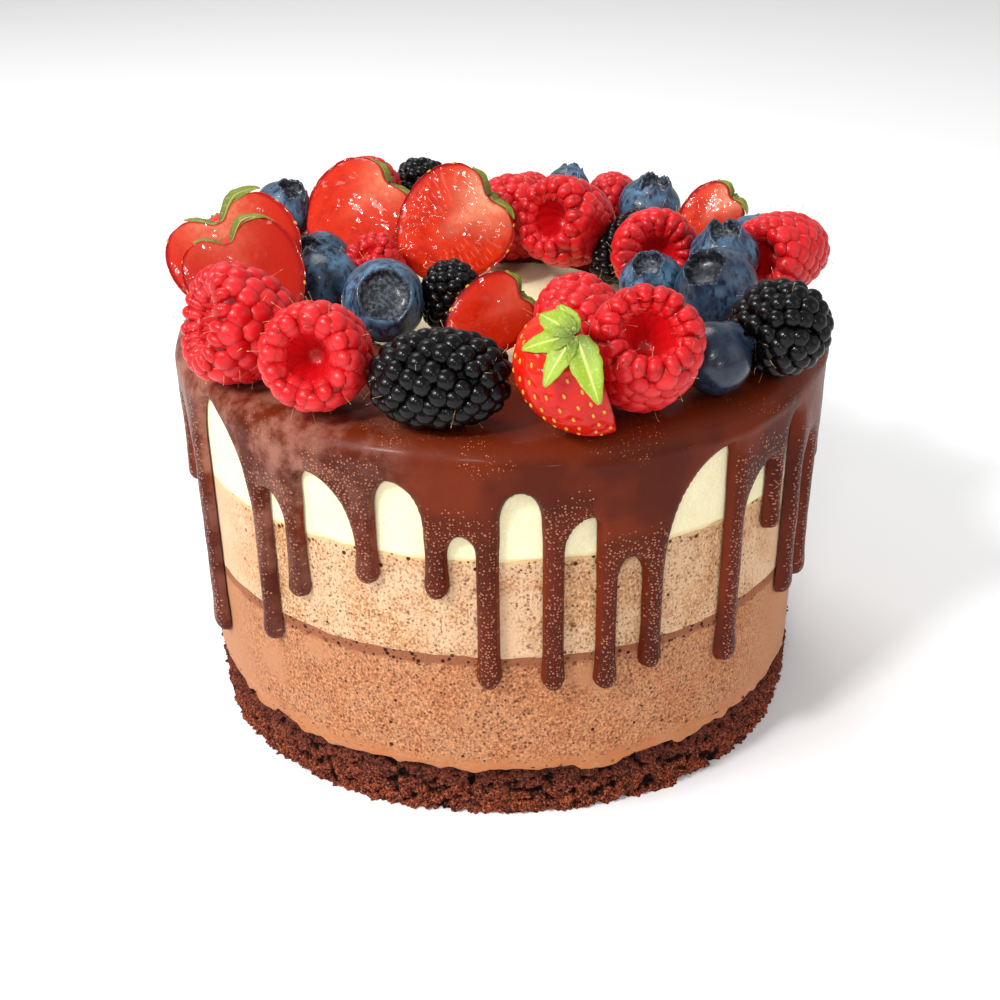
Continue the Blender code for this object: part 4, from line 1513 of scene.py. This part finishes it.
@dataclass(frozen=True)
class BlueberryFinish:
    """Dark blue skin under a pale bloom, rubbed off in places, and darkest in the crown."""

    skin: Colour = srgb(24, 31, 48)
    bloom: Colour = srgb(82, 118, 148)
    crown: Colour = srgb(24, 25, 30)
    wrinkle: Colour = srgb(82, 92, 104)

    def make(self) -> Material:
        """Bloom lies in clouds, thicker on the mark bloom, and is wiped off in streaks.

        The crown has pale wrinkles on a dark ground."""
        mix = Recipe("blueberry_skin")
        cloud = mix.noise(5 * MM, 4, 0.6)
        streaks = mix.noise(1.7 * MM, 4, 0.65, mix.scaled(1, 1, 0.45))
        wiped = mix.ease(streaks, 0.34, 0.56)
        amount = mix.times(mix.ease(cloud, 0.32, 0.66, 0.15, 1.0), wiped)
        amount = mix.times(amount, mix.mark("bloom"))
        dusty = mix.blend(amount, self.skin, self.bloom)
        wrinkles = mix.ease(mix.noise(0.9 * MM, 3, 0.6), 0.42, 0.66)
        wrinkled = mix.times(wrinkles, mix.mark("bloom"))
        crown = mix.blend(wrinkled, self.crown, self.wrinkle)
        fine = mix.noise(0.6 * MM, 3, 0.6)
        return mix.finish(
            Base_Color=mix.blend(mix.mark("crown"), dusty, crown),
            Roughness=mix.ease(amount, 0, 0.7, 0.24, 0.60), Specular_IOR_Level=0.32, Coat_Weight=0.15,
            Coat_Roughness=0.08, Normal=mix.bump(fine, 0.06 * MM),
        )


BLUEBERRY_FOOT = ((1.0, -0.05), (0.84, -0.32), (0.46, -0.47), (0.0, -0.50))


@dataclass(frozen=True)
class Blueberry(Fruit):
    """A blueberry: a flat ball with a five-pointed crown round a shallow cup.

    Attributes:
        bloom: how dusty it is.
        lobes: how high the crown's points stand.
        crest: how wide the crown's crest is, as a share of the outline.
        open_out: how far its points lean out, as a share of the half width, and stand_up how high
            they stand, as a share of the length.
    """

    bloom: float = 0.9
    lobes: float = 1.0
    crest: float = 0.05
    open_out: float = 0.045
    stand_up: float = 0.062
    outline: tuple = (
        (0.0, 0.30), (0.20, 0.31), (0.38, 0.35), (0.46, 0.47), (0.53, 0.50), (0.62, 0.41), (0.93, 0.20),
        *BLUEBERRY_FOOT,
    )

    def surface(self) -> Surface:
        """The turned skin.

        Near the crown's crest radius and height rise to five broad points with notches between
        them. With a the angle a point is 1.6 |cos 2.5a|^0.8 - 1, times a height of its own.
        """
        draws = self.draw()
        line = self.curve(self.outline, 60)[1:-1]
        way = (np.arange(len(line)) - int(line[:22, 1].argmax()))[:, None] / len(line)
        angle = full_turn(100)
        crown = hump(way, self.crest)
        turned = angle + draws.uniform(0, 6)
        point = np.abs(np.cos(2.5 * turned)) ** 0.8 * 1.6 - 1.0
        own = 1 + 0.35 * np.cos(turned + 1) + 0.25 * np.cos(2 * turned + 2)
        ragged = point * own + 0.16 * np.cos(17 * angle) + 0.12 * np.cos(29 * angle + 2)
        radius = line[:, :1] - self.radius * self.open_out * (0.3 + 0.7 * self.lobes) * ragged * crown
        height = line[:, 1:] + self.length * self.stand_up * ragged * self.lobes * crown
        rings = around(angle, radius, height)
        rings = rings + soft_noise(rings, 6 * MM, 61)[..., None] * 0.12 * MM
        inside = ease(way, 0.02, -0.03)
        ends = self.outline[0][1] * self.length, -0.5 * self.length
        bloom = self.bloom * (1 + 0.4 * hump(way - 0.09, 0.05))
        return Surface.closed_round(rings, *ends, crown=inside, bloom=bloom)

    def make(self, neighbours: Neighbours, material: Material) -> None:
        """Builds and dresses the blueberry."""
        body = self.surface()
        self.place(neighbours, body)
        body.build(f"{self.node}_fruit", material, "blueberry", self.node)


BROAD_DISH = (
    (0.0, 0.38), (0.30, 0.39), (0.50, 0.42), (0.58, 0.47), (0.65, 0.49), (0.75, 0.41), (0.96, 0.18),
    *BLUEBERRY_FOOT,
)
BLUEBERRIES = (
    Blueberry("blueberry_01", 0.0093, 0.0160, 180, 70),
    Blueberry("blueberry_02", 0.0100, 0.0175, 8, 28, lobes=0.25, outline=BROAD_DISH),
    Blueberry("blueberry_03", 0.0082, 0.0150, 60, 58),
    Blueberry("blueberry_04", 0.0078, 0.0140, -40, 40),
    Blueberry("blueberry_05", 0.0062, 0.0115, 160, 50),
    Blueberry("blueberry_06", 0.0090, 0.0155, 40, 74, lobes=1.6),
    Blueberry("blueberry_07", 0.0080, 0.0140, -25, 62),
    Blueberry("blueberry_08", 0.0088, 0.0155, -20, 76, lobes=1.5),
    Blueberry("blueberry_09", 0.0102, 0.0180, -42, 50, bloom=0.35),
    Blueberry("blueberry_10", 0.0082, 0.0150, 120, 30, bloom=0.12),
    Blueberry("blueberry_11", 0.0084, 0.0150, -120, 50),
    Blueberry("blueberry_12", 0.0070, 0.0125, 170, 40),
    Blueberry("blueberry_13", 0.0072, 0.0130, 120, 40),
)


@dataclass(frozen=True)
class StrawberryFinish:
    """Strawberry under clear gel: deep red seeded skin, and a cut face with a pale streak."""

    skin: Colour = srgb(186, 9, 4)
    shoulder: Colour = srgb(204, 30, 12)
    flesh: Colour = srgb(210, 44, 8)
    deep: Colour = srgb(156, 12, 2)
    core: Colour = srgb(242, 172, 134)
    rim: Colour = srgb(148, 6, 4)
    seed: Colour = srgb(216, 146, 52)

    def make(self) -> Material:
        """Marks say what is cut, how ripe and pale it is there, how near the rim, and what is a seed."""
        mix = Recipe("strawberry_glazed")
        cloud = mix.noise(4 * MM, 3)
        veins = mix.noise(1.6 * MM, 3, 0.6)
        skin = mix.blend(mix.ease(mix.mark("green"), 0.2, 1.0), self.skin, self.shoulder)
        skin = mix.blend(mix.ease(cloud, 0.35, 0.75, 0, 0.35), skin, self.flesh)
        wet = mix.ease(mix.noise(3.2 * MM, 4, 0.65), 0.40, 0.62, 0, 0.55)
        flesh = mix.blend(mix.more_of(mix.mark("ripe"), wet), self.flesh, self.deep)
        fibres = mix.ease(mix.mark("spoke"), 0.55, 0.95, 0, 0.22)
        pale = mix.times(mix.mark("pale"), mix.ease(veins, 0.3, 0.6, 0.55, 1.0))
        flesh = mix.blend(mix.more_of(pale, fibres), flesh, self.core)
        flesh = mix.blend(mix.ease(mix.mark("rim"), 0.05, 0.95), flesh, self.rim)
        body = mix.blend(mix.mark("cut"), skin, flesh)
        body = mix.blend(mix.ease(mix.mark("seed"), 0.4, 0.6), body, self.seed)
        drops = mix.bump(mix.noise(2.6 * MM, 1), 0.50 * MM)
        gel = mix.bump(mix.noise(8 * MM, 1.5), 2.4 * MM, drops)
        return mix.finish(
            Base_Color=body, Roughness=0.4, Specular_IOR_Level=0.05, Subsurface_Weight=0.2,
            Subsurface_Radius=(1.0, 0.15, 0.08), Subsurface_Scale=1.5 * MM, Coat_Weight=0.44,
            Coat_Roughness=0.07, Coat_Normal=gel, Normal=mix.bump(veins, 0.12 * MM),
        )


@dataclass(frozen=True)
class LeafFinish:
    """The calyx: lime green, darker towards the stem, with pale fine veins."""

    blade: Colour = srgb(138, 164, 40)
    base: Colour = srgb(84, 104, 26)
    vein: Colour = srgb(196, 202, 112)
    brown: Colour = srgb(92, 86, 30)

    def make(self) -> Material:
        """The middle vein follows the mark across, and the rest is noise drawn out."""
        mix = Recipe("strawberry_leaf_green")
        across, along = mix.mark("across"), mix.mark("along")
        body = mix.blend(mix.ease(along, 0.0, 0.6), self.base, self.blade)
        body = mix.blend(mix.mark("wilted"), body, self.brown)
        middle = mix.ease(mix.calc("ABSOLUTE", across, 0.0), 0.16, 0.04)
        fine = mix.ease(mix.noise(0.7 * MM, 3), 0.52, 0.66, 0, 0.45)
        veined = mix.more_of(middle, fine)
        veined = mix.times(veined, mix.ease(mix.mark("wilted"), 0, 1, 0.8, 0.3))
        return mix.finish(
            Base_Color=mix.blend(veined, body, self.vein), Roughness=0.45, Specular_IOR_Level=0.3,
            Subsurface_Weight=0.15, Subsurface_Radius=(0.5, 1.0, 0.2), Subsurface_Scale=0.8 * MM,
            Normal=mix.bump(fine, 0.08 * MM),
        )


STRAWBERRY_TIP = ((1.0, 0.20), (0.96, -0.06), (0.74, -0.28), (0.40, -0.44), (0.0, -0.50))


@dataclass(frozen=True)
class Strawberry(Fruit):
    """Half a strawberry.

    Attributes:
        cut_face: the angle round the cake, in degrees, that its cut side looks to.
        cut_tilt: how far above the horizon that side looks, in degrees.
        thickness: of the half, as a share of the half width.
        ripe: how deep the red of its cut side is.
        pale: how pale that side is along its middle and at the stem end.
        dome: how far that side is domed, and edge how far its edge rounds off.
        lumps: the sizes, seeds and strengths of that side's lumps.
        leaf: the length of a leaf.
        leaves: the angle of each leaf, in degrees from its side axis, and its length as a share.
        lean: how far the leaves along the cut turn their faces to it, in degrees.
        slim: half a leaf's width as a share of its length.
        wilted: how brown the leaves are.
        stem: where the calyx sits: how far it is from the stem end down the skin, as a share of
            the length, and at what angle round the fruit in degrees.
        stem_level: the height of a calyx at the stem end, as a share of the length.
        middle: how far the middle of the flesh is behind the cut, as a share of the half width.
        seed: half a seed's width, length and height, and dimple how deep it lies.
        seed_gaps: between rows of seeds, and between the seeds of a row.
    """

    cut_face: float = 0
    cut_tilt: float = 0
    thickness: float = 0.80
    ripe: float = 0.4
    pale: float = 0.6
    dome: float = 0.9 * MM
    edge: float = 0.6 * MM
    lumps: tuple = ((6 * MM, 76, 0.30 * MM), (2.6 * MM, 77, 0.14 * MM))
    leaf: float = 9 * MM
    leaves: tuple = ((182, 1.1), (215, 0.8), (262, 0.7), (318, 0.8), (356, 1.1))
    lean: float = 50
    slim: float = 0.14
    wilted: float = 0.7
    stem: tuple = (0.0, 90)
    stem_level: float = 0.475
    middle: float = 0.25
    seed: tuple = (0.36 * MM, 0.64 * MM, 0.30 * MM)
    dimple: float = 0.42 * MM
    seed_gaps: tuple = (2.9 * MM, 3.3 * MM)
    outline: tuple = ((0.0, 0.415), (0.12, 0.43), (0.28, 0.465), (0.46, 0.475), (0.80, 0.40), *STRAWBERRY_TIP)

    def cut_side(self) -> Array:
        """The direction that its cut side looks to."""
        return heading(self.cut_face, self.cut_tilt)

    def seeds(self) -> Array:
        """Seed places on the skin as angle, radius and height: rows down the outline, staggered."""
        draws = self.draw()
        line = self.curve(self.outline, 120)
        down, along = self.seed_gaps
        rows = []
        for row, at in enumerate(np.linspace(26, 112, max(5, round(self.length / down))).astype(int)):
            radius, height = line[at]
            count = max(2, round(math.pi * radius / along))
            turn = (np.arange(count) + 0.25 + 0.5 * (row % 2)) / count * math.pi
            turn = turn + draws.uniform(-0.06, 0.06, count)
            rows.append(np.column_stack([turn, np.full(count, radius), np.full(count, height)]))
        return np.concatenate(rows)

    def skin_point(self, turn: Array, radius: Array, height: Array) -> Array:
        """A point of the skin: (r cos a, s r sin a, z), with s the thickness and a from 0 to half a turn."""
        x, y = radius * np.cos(turn), self.thickness * radius * np.sin(turn)
        return np.stack(np.broadcast_arrays(x, y, height), -1)

    def cut(self, line: Array, across: Array) -> Array:
        """The cut as rows of points, a little domed, which round off to the skin.

        Down to the shoulder of the outline the rows follow the notch of the stem end. Under it
        they bend into the notch by their share of the shoulder's height.

        Args:
            line: the outline in metres.
            across: the columns' places, as a share of the outline's radius.

        Returns:
            An array of rows, columns and three coordinates.
        """
        radius, height = line[:, :1], line[:, 1:]
        fade = np.minimum(radius / self.radius * 2, 1)
        round_off = np.abs(across) ** 10 * self.edge * fade
        dome = (1 - across**2) * self.dome * fade
        upper = line[: int(height.argmax()) + 1]
        notch = np.interp(np.abs(radius * across), upper[:, 0], upper[:, 1])
        bent = height - (height.max() - notch) * np.clip(height / height.max(), 0, 1)
        bent[: len(upper)] = notch[: len(upper)]
        face = np.stack(np.broadcast_arrays(radius * across, round_off - dome, bent), -1)
        face[..., 1] += layered_noise(face, *self.lumps) * (1 - across**2) * (radius / self.radius)
        return face

    def cut_marks(self, line: Array, face: Array) -> dict[str, Array]:
        """What the cut is like at its points: the rim, the pale middle and stem end, and the fibres.

        The fibres are the squares of a cosine along the fruit, which bend up to the sides.
        """
        radius, height = line[:, :1], line[:, 1:]
        inside = radius - np.abs(face[..., 0])
        from_top = height.max() - height
        from_top[: int(height.argmax()) + 1] = 0
        from_rim = np.minimum(inside, np.minimum(height - line[-1, 1], from_top * 1.4 + 0.4 * MM))
        aside, along = np.abs(face[..., 0] / self.radius), face[..., 2] / self.length + 0.5
        streak = hump(aside, 0.10 + 0.16 * along) * ease(along, 0.25, 0.85) * 0.7
        stem_end = hump(np.hypot(aside / 0.5, (along - 0.95) / 0.25), 1.0) * 0.9
        fan = np.cos((along - 0.75 * aside) * self.length * math.tau / (2.6 * MM)) ** 2
        between = ease(aside, 0.12, 0.3) * ease(from_rim, 0.8 * MM, 2.5 * MM)
        return {
            "cut": np.ones_like(inside),
            "rim": 1 - ease(from_rim, 0.1 * MM, 2.2 * MM),
            "pale": self.pale * np.maximum(streak, stem_end),
            "spoke": fan * between * self.pale,
        }

    def surface(self) -> Surface:
        """The half fruit as closed rings: over the skin for half a turn, and back over the cut.

        Each seed lies in a dimple."""
        line = self.curve(self.outline, 64)[1:-1]
        skin = self.skin_point(np.linspace(0.02, math.pi - 0.02, 64), line[:, :1], line[:, 1:])
        face = self.cut(line, np.linspace(-0.985, 0.985, 40))
        seeds = self.seeds()
        spots = self.skin_point(seeds[:, 0], seeds[:, 1], seeds[:, 2])
        away = np.linalg.norm(skin[:, :, None] - spots, axis=-1).min(-1)
        inward = unit((0, self.middle * self.radius, 0) - skin * (1, 1, 0.6))
        skin = skin + inward * (hump(away, 1.1 * MM) * self.dimple)[..., None]
        rings = np.concatenate([skin, face], axis=1)
        green = ease(skin[..., 2], 0.1 * self.length, 0.46 * self.length)
        cut_marks = self.cut_marks(line, face)
        on_skin, on_cut = np.zeros_like(green), np.zeros(face.shape[:2])
        marks = {name: np.concatenate([on_skin, values], 1) for name, values in cut_marks.items()}
        marks["green"] = np.concatenate([green, on_cut], 1)
        ends = line[0, 1] - 0.2 * MM, -0.5 * self.length
        body = Surface.closed_round(rings, *ends, ripe=self.ripe, **marks)
        return Surface.joined([body, self.seed_grains(spots)])

    def seed_grains(self, spots: Array) -> Surface:
        """Drop-shaped seeds that stand a little out of their dimples."""
        polar = np.radians([30, 65, 100, 140])[:, None]
        ball = Surface.closed_round(around(full_turn(8), np.sin(polar), np.cos(polar)), 1, -1)
        outside = unit((spots - (0, self.middle * self.radius, 0)) * (1, 1, 0.5))
        sideways = unit(np.cross([0, 0, 1.0], outside))
        frames = np.stack([sideways, np.cross(outside, sideways), outside], 1)
        scale = np.tile(self.seed, (len(spots), 1))
        return ball.copies(scale, frames, spots - outside * 0.22 * MM, seed=np.ones(len(spots)))

    def calyx(self) -> Surface:
        """The leaves. They sit in the notch of the stem end, or on the skin at the stem's place."""
        draws = self.draw()
        down, turn = self.stem[0], math.radians(self.stem[1])
        base, normal = np.array([0, 1.2 * MM, self.stem_level * self.length]), np.array([0.0, 0.0, 1.0])
        if down:
            line = self.curve(self.outline, 120)
            at = int(down * 119)
            out, up = outward(line)[at]
            base = self.skin_point(turn, line[at, 0], line[at, 1])
            normal = np.array([out * math.cos(turn), out * math.sin(turn), up])
        forward = unit(-np.cross(normal, [1.0, 0, 0]))
        axes = np.stack([np.cross(forward, normal), forward, normal])
        sizes = [(math.radians(angle), self.leaf * share) for angle, share in self.leaves]
        whole = Surface.joined([self.blade(draws, angle, length) for angle, length in sizes])
        whole.points = whole.points @ axes + base
        return whole

    def fall(self, out: Array, side: Array, angle: float) -> Array:
        """How far the fruit falls away under a leaf along this angle.

        A leaf at the stem end follows the outline. One on the skin falls by the square of the way
        over twice the bend, 1.4 half widths, and by no more than 0.85 of its way out.

        Args:
            out: the way out from the stem, along the leaf.
            side: the way across it.
            angle: the leaf's, in radians from the fruit's side axis.
        """
        if self.stem[0]:
            return np.minimum((out**2 + side**2) / (2 * 1.4 * self.radius), 0.85 * out)
        line = self.curve(self.outline, 120)
        top = line[: line[:, 0].argmax()]
        stretch = math.hypot(math.cos(angle), math.sin(angle) / self.thickness)
        under = np.interp(np.hypot(out * stretch, side), top[:, 0], top[:, 1])
        return self.stem_level * self.length - under

    def blade(self, draws: np.random.Generator, angle: float, length: float) -> Surface:
        """One thin leaf at the origin, which starts out flat along this angle.

        With t the share of its length, it stands off a little more with t³, over the fruit as that
        falls away. Its half width is its own times sin(pi t^0.75), toothed, its sides fold up from
        the middle vein, and it is turned about its length by the lean.
        """
        t = np.linspace(0.03, 0.985, 16)[:, None]
        side = np.linspace(-1, 1, 9)
        teeth = 1 + 0.13 * np.abs(np.sin(t * 15))
        widest = length * self.slim * draws.uniform(0.9, 1.1)
        half = widest * np.sin(math.pi * t**0.75) ** 0.8 * teeth + 0.15 * MM
        lift = 0.35 * MM + 0.10 * length * t**3 * draws.uniform(0.2, 1.3) + np.abs(side) * half * 0.28
        lift = lift + 0.18 * MM * np.sin(9 * t + 3 * side + 5 * angle) * t
        thin = 0.26 * MM * (1 - 0.6 * np.abs(side))
        twist = -math.radians(self.lean) * math.cos(angle)
        sway = 0.12 * length * t**2 * draws.uniform(-1, 1)
        out = t * length + 0 * side
        fall = self.fall(out, side * half, angle)

        def placed(raised: Array) -> Array:
            """The blade's points at this height over its own plane."""
            over = side * half * math.cos(twist) - raised * math.sin(twist) + sway
            rise = side * half * math.sin(twist) + raised * math.cos(twist) - fall
            x = out * math.cos(angle) - over * math.sin(angle)
            y = out * math.sin(angle) + over * math.cos(angle)
            return np.stack([x, y, rise], -1)

        rings = np.concatenate([placed(lift + thin)[:, ::-1], placed(lift)], axis=1)[::-1]
        across = np.concatenate([side[::-1], side])
        return Surface.closed_round(rings, across=across, along=t[::-1], wilted=self.wilted)

    def make(self, neighbours: Neighbours, material: Material, leaf: Material) -> None:
        """Builds and dresses the half fruit and its calyx."""
        body = self.surface()
        if not self.leaves:
            self.place(neighbours, body)
        else:
            calyx = self.calyx()
            self.place(neighbours, body, calyx)
            calyx.build(f"{self.node}_leaves", leaf, "strawberry_leaf", f"{self.node}_calyx")
        body.build(f"{self.node}_fruit", material, "strawberry", self.node)


LONG_LEAVES = ((178, 1.5), (212, 1.0), (262, 0.8), (318, 0.8), (2, 0.8))
NOTCHED = ((0.0, 0.34), (0.10, 0.355), (0.26, 0.43), (0.46, 0.475), (0.80, 0.41), *STRAWBERRY_TIP)
STRAWBERRIES = (
    Strawberry(
        "strawberry_01", 0.0122, 0.0295, -65, 69, 103, 14, 1.22,
        leaf=11.5 * MM, lean=0, slim=0.20, wilted=0.0, stem=(0.20, 172),
        leaves=((172, 0.8), (203, 1.0), (250, 1.0), (297, 1.0), (352, 1.2)),
    ),
    Strawberry("strawberry_02", 0.0090, 0.0220, 112, 28, 65, 35, leaf=6 * MM, ripe=0.35, pale=0.2),
    Strawberry(
        "strawberry_03", 0.0165, 0.0320, -135, 45, 10, 35, ripe=0.55, pale=0.5, leaves=LONG_LEAVES,
        outline=NOTCHED,
    ),
    Strawberry(
        "strawberry_04", 0.0140, 0.0290, -135, 45, 14, 35, ripe=0.75, pale=0.2, leaves=LONG_LEAVES,
        outline=NOTCHED,
    ),
    Strawberry("strawberry_05", 0.0145, 0.0290, 116, 31, -14, 36, ripe=0.3, pale=0.5),
    Strawberry("strawberry_06", 0.0150, 0.0310, 106, 35, 4, 22, leaf=8 * MM, ripe=0.1, pale=0.95),
    Strawberry("strawberry_07", 0.0082, 0.0200, 95, 40, -10, 26, leaf=6 * MM, ripe=0.0, pale=0.85),
    Strawberry("strawberry_08", 0.0075, 0.0210, 150, 0, 0, -88, leaves=()),
)


def make_hair_finish() -> Material:
    """Golden brown dry hairs, paler in places."""
    mix = Recipe("berry_hair")
    tone = mix.ease(mix.noise(3 * MM, 2), 0.35, 0.65)
    return mix.finish(Base_Color=mix.blend(tone, srgb(150, 96, 48), srgb(222, 184, 120)), Roughness=0.5)


def make_fruit(nodes: dict[str, bpy.types.Object]) -> None:
    """Builds every fruit, each clear of its neighbours, and the hairs of all in one piece."""
    whole = [*RASPBERRIES, *BRAMBLES, *BLUEBERRIES, *STRAWBERRIES]
    neighbours = Neighbours(nodes, [fruit.node for fruit in whole])
    red, black = RASPBERRY_SKIN.make(), BRAMBLE_SKIN.make()
    hairs = [berry.make(neighbours, red, "raspberry", 0.3) for berry in RASPBERRIES]
    hairs += [berry.make(neighbours, black, "bramble", 0.13) for berry in BRAMBLES]
    Surface.joined(hairs).build("berry_hairs", make_hair_finish(), "raspberry")
    dusty = BlueberryFinish().make()
    for berry in BLUEBERRIES:
        berry.make(neighbours, dusty)
    glazed, leaf = StrawberryFinish().make(), LeafFinish().make()
    for berry in STRAWBERRIES:
        berry.make(neighbours, glazed, leaf)


@dataclass(frozen=True)
class SoftLight:
    """A large square light that looks at a point. Its size is its side in metres, its power in watts."""

    name: str
    place: Colour
    aim: Colour
    size: float
    power: float

    def make(self) -> None:
        """Adds the light and turns it to its aim."""
        data = bpy.data.lights.new(self.name, "AREA")
        data.shape = "SQUARE"
        data.size = self.size
        data.energy = self.power
        lamp = add_object(self.name, data)
        lamp.location = self.place
        direction = np.array(self.aim) - np.array(self.place)
        flat = math.hypot(direction[0], direction[1])
        lamp.rotation_euler = (math.atan2(flat, -direction[2]), 0, math.atan2(-direction[0], direction[1]))


@dataclass
class Studio:
    """The camera, a plain white floor, white surroundings and lights, the strongest at the front left."""

    camera_place: Colour = (0.0, -0.3355, 0.2298)
    camera_turn: Colour = (61.538, 0.686, -0.242)
    lens: float = 49.51
    surroundings: float = 0.50
    lights: tuple[SoftLight, ...] = (
        SoftLight("window", (-0.72, -0.50, 0.80), (0, 0, 0.06), 0.42, 6.6),
        SoftLight("pane", (-0.55, -0.62, 0.85), (0, 0, 0.08), 0.13, 6.0),
        SoftLight("fill", (0.95, -0.55, 0.60), (0, 0, 0.06), 0.8, 2.0),
        SoftLight("back", (-0.30, 0.55, 1.25), (0, 0, 0.1), 0.6, 6.5),
        SoftLight("glint", (-0.16, -0.80, 0.60), (0, 0, 0.11), 0.09, 1.2),
        SoftLight("low_glint", (0.20, -0.85, 0.22), (0, 0, 0.11), 0.05, 0.40),
    )

    def make_camera(self) -> None:
        """Adds the camera at the viewpoint that the cake's round edges give."""
        data = bpy.data.cameras.new("viewpoint")
        data.sensor_width = 36
        data.lens = self.lens
        data.clip_start = 0.01
        camera = add_object("viewpoint", data)
        camera.location = self.camera_place
        camera.rotation_euler = [math.radians(degrees) for degrees in self.camera_turn]
        bpy.context.scene.camera = camera

    def make_floor(self) -> None:
        """Adds the floor, which isn't part of the cake."""
        reach = 30.0
        mesh = bpy.data.meshes.new("floor")
        corners = [(-reach, -reach, 0), (reach, -reach, 0), (reach, reach, 0), (-reach, reach, 0)]
        mesh.from_pydata(corners, [], [(0, 1, 2, 3)])
        mesh.materials.append(Recipe("white_floor").finish(Base_Color=(0.98, 0.98, 0.98), Roughness=0.9))
        add_object("floor", mesh)

    def make_light(self) -> None:
        """Adds the lights and the white surroundings."""
        world = bpy.data.worlds.new("surroundings")
        world.use_nodes = True
        world.node_tree.nodes["Background"].inputs["Color"].default_value = (1, 1, 1, 1)
        world.node_tree.nodes["Background"].inputs["Strength"].default_value = self.surroundings
        bpy.context.scene.world = world
        bpy.context.scene.view_settings.view_transform = "Standard"
        for light in self.lights:
            light.make()

    def make(self) -> None:
        """Sets the whole studio up."""
        self.make_camera()
        self.make_floor()
        self.make_light()


def main() -> None:
    """Builds the studio and every piece of the cake."""
    logging.basicConfig(level=logging.INFO, format="%(message)s")
    Studio().make()
    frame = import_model()
    Sponge().make()
    for layer in LAYERS:
        layer.make()
    Glaze().make()
    make_fruit(frame["nodes"])


if __name__ == "__main__":
    main()
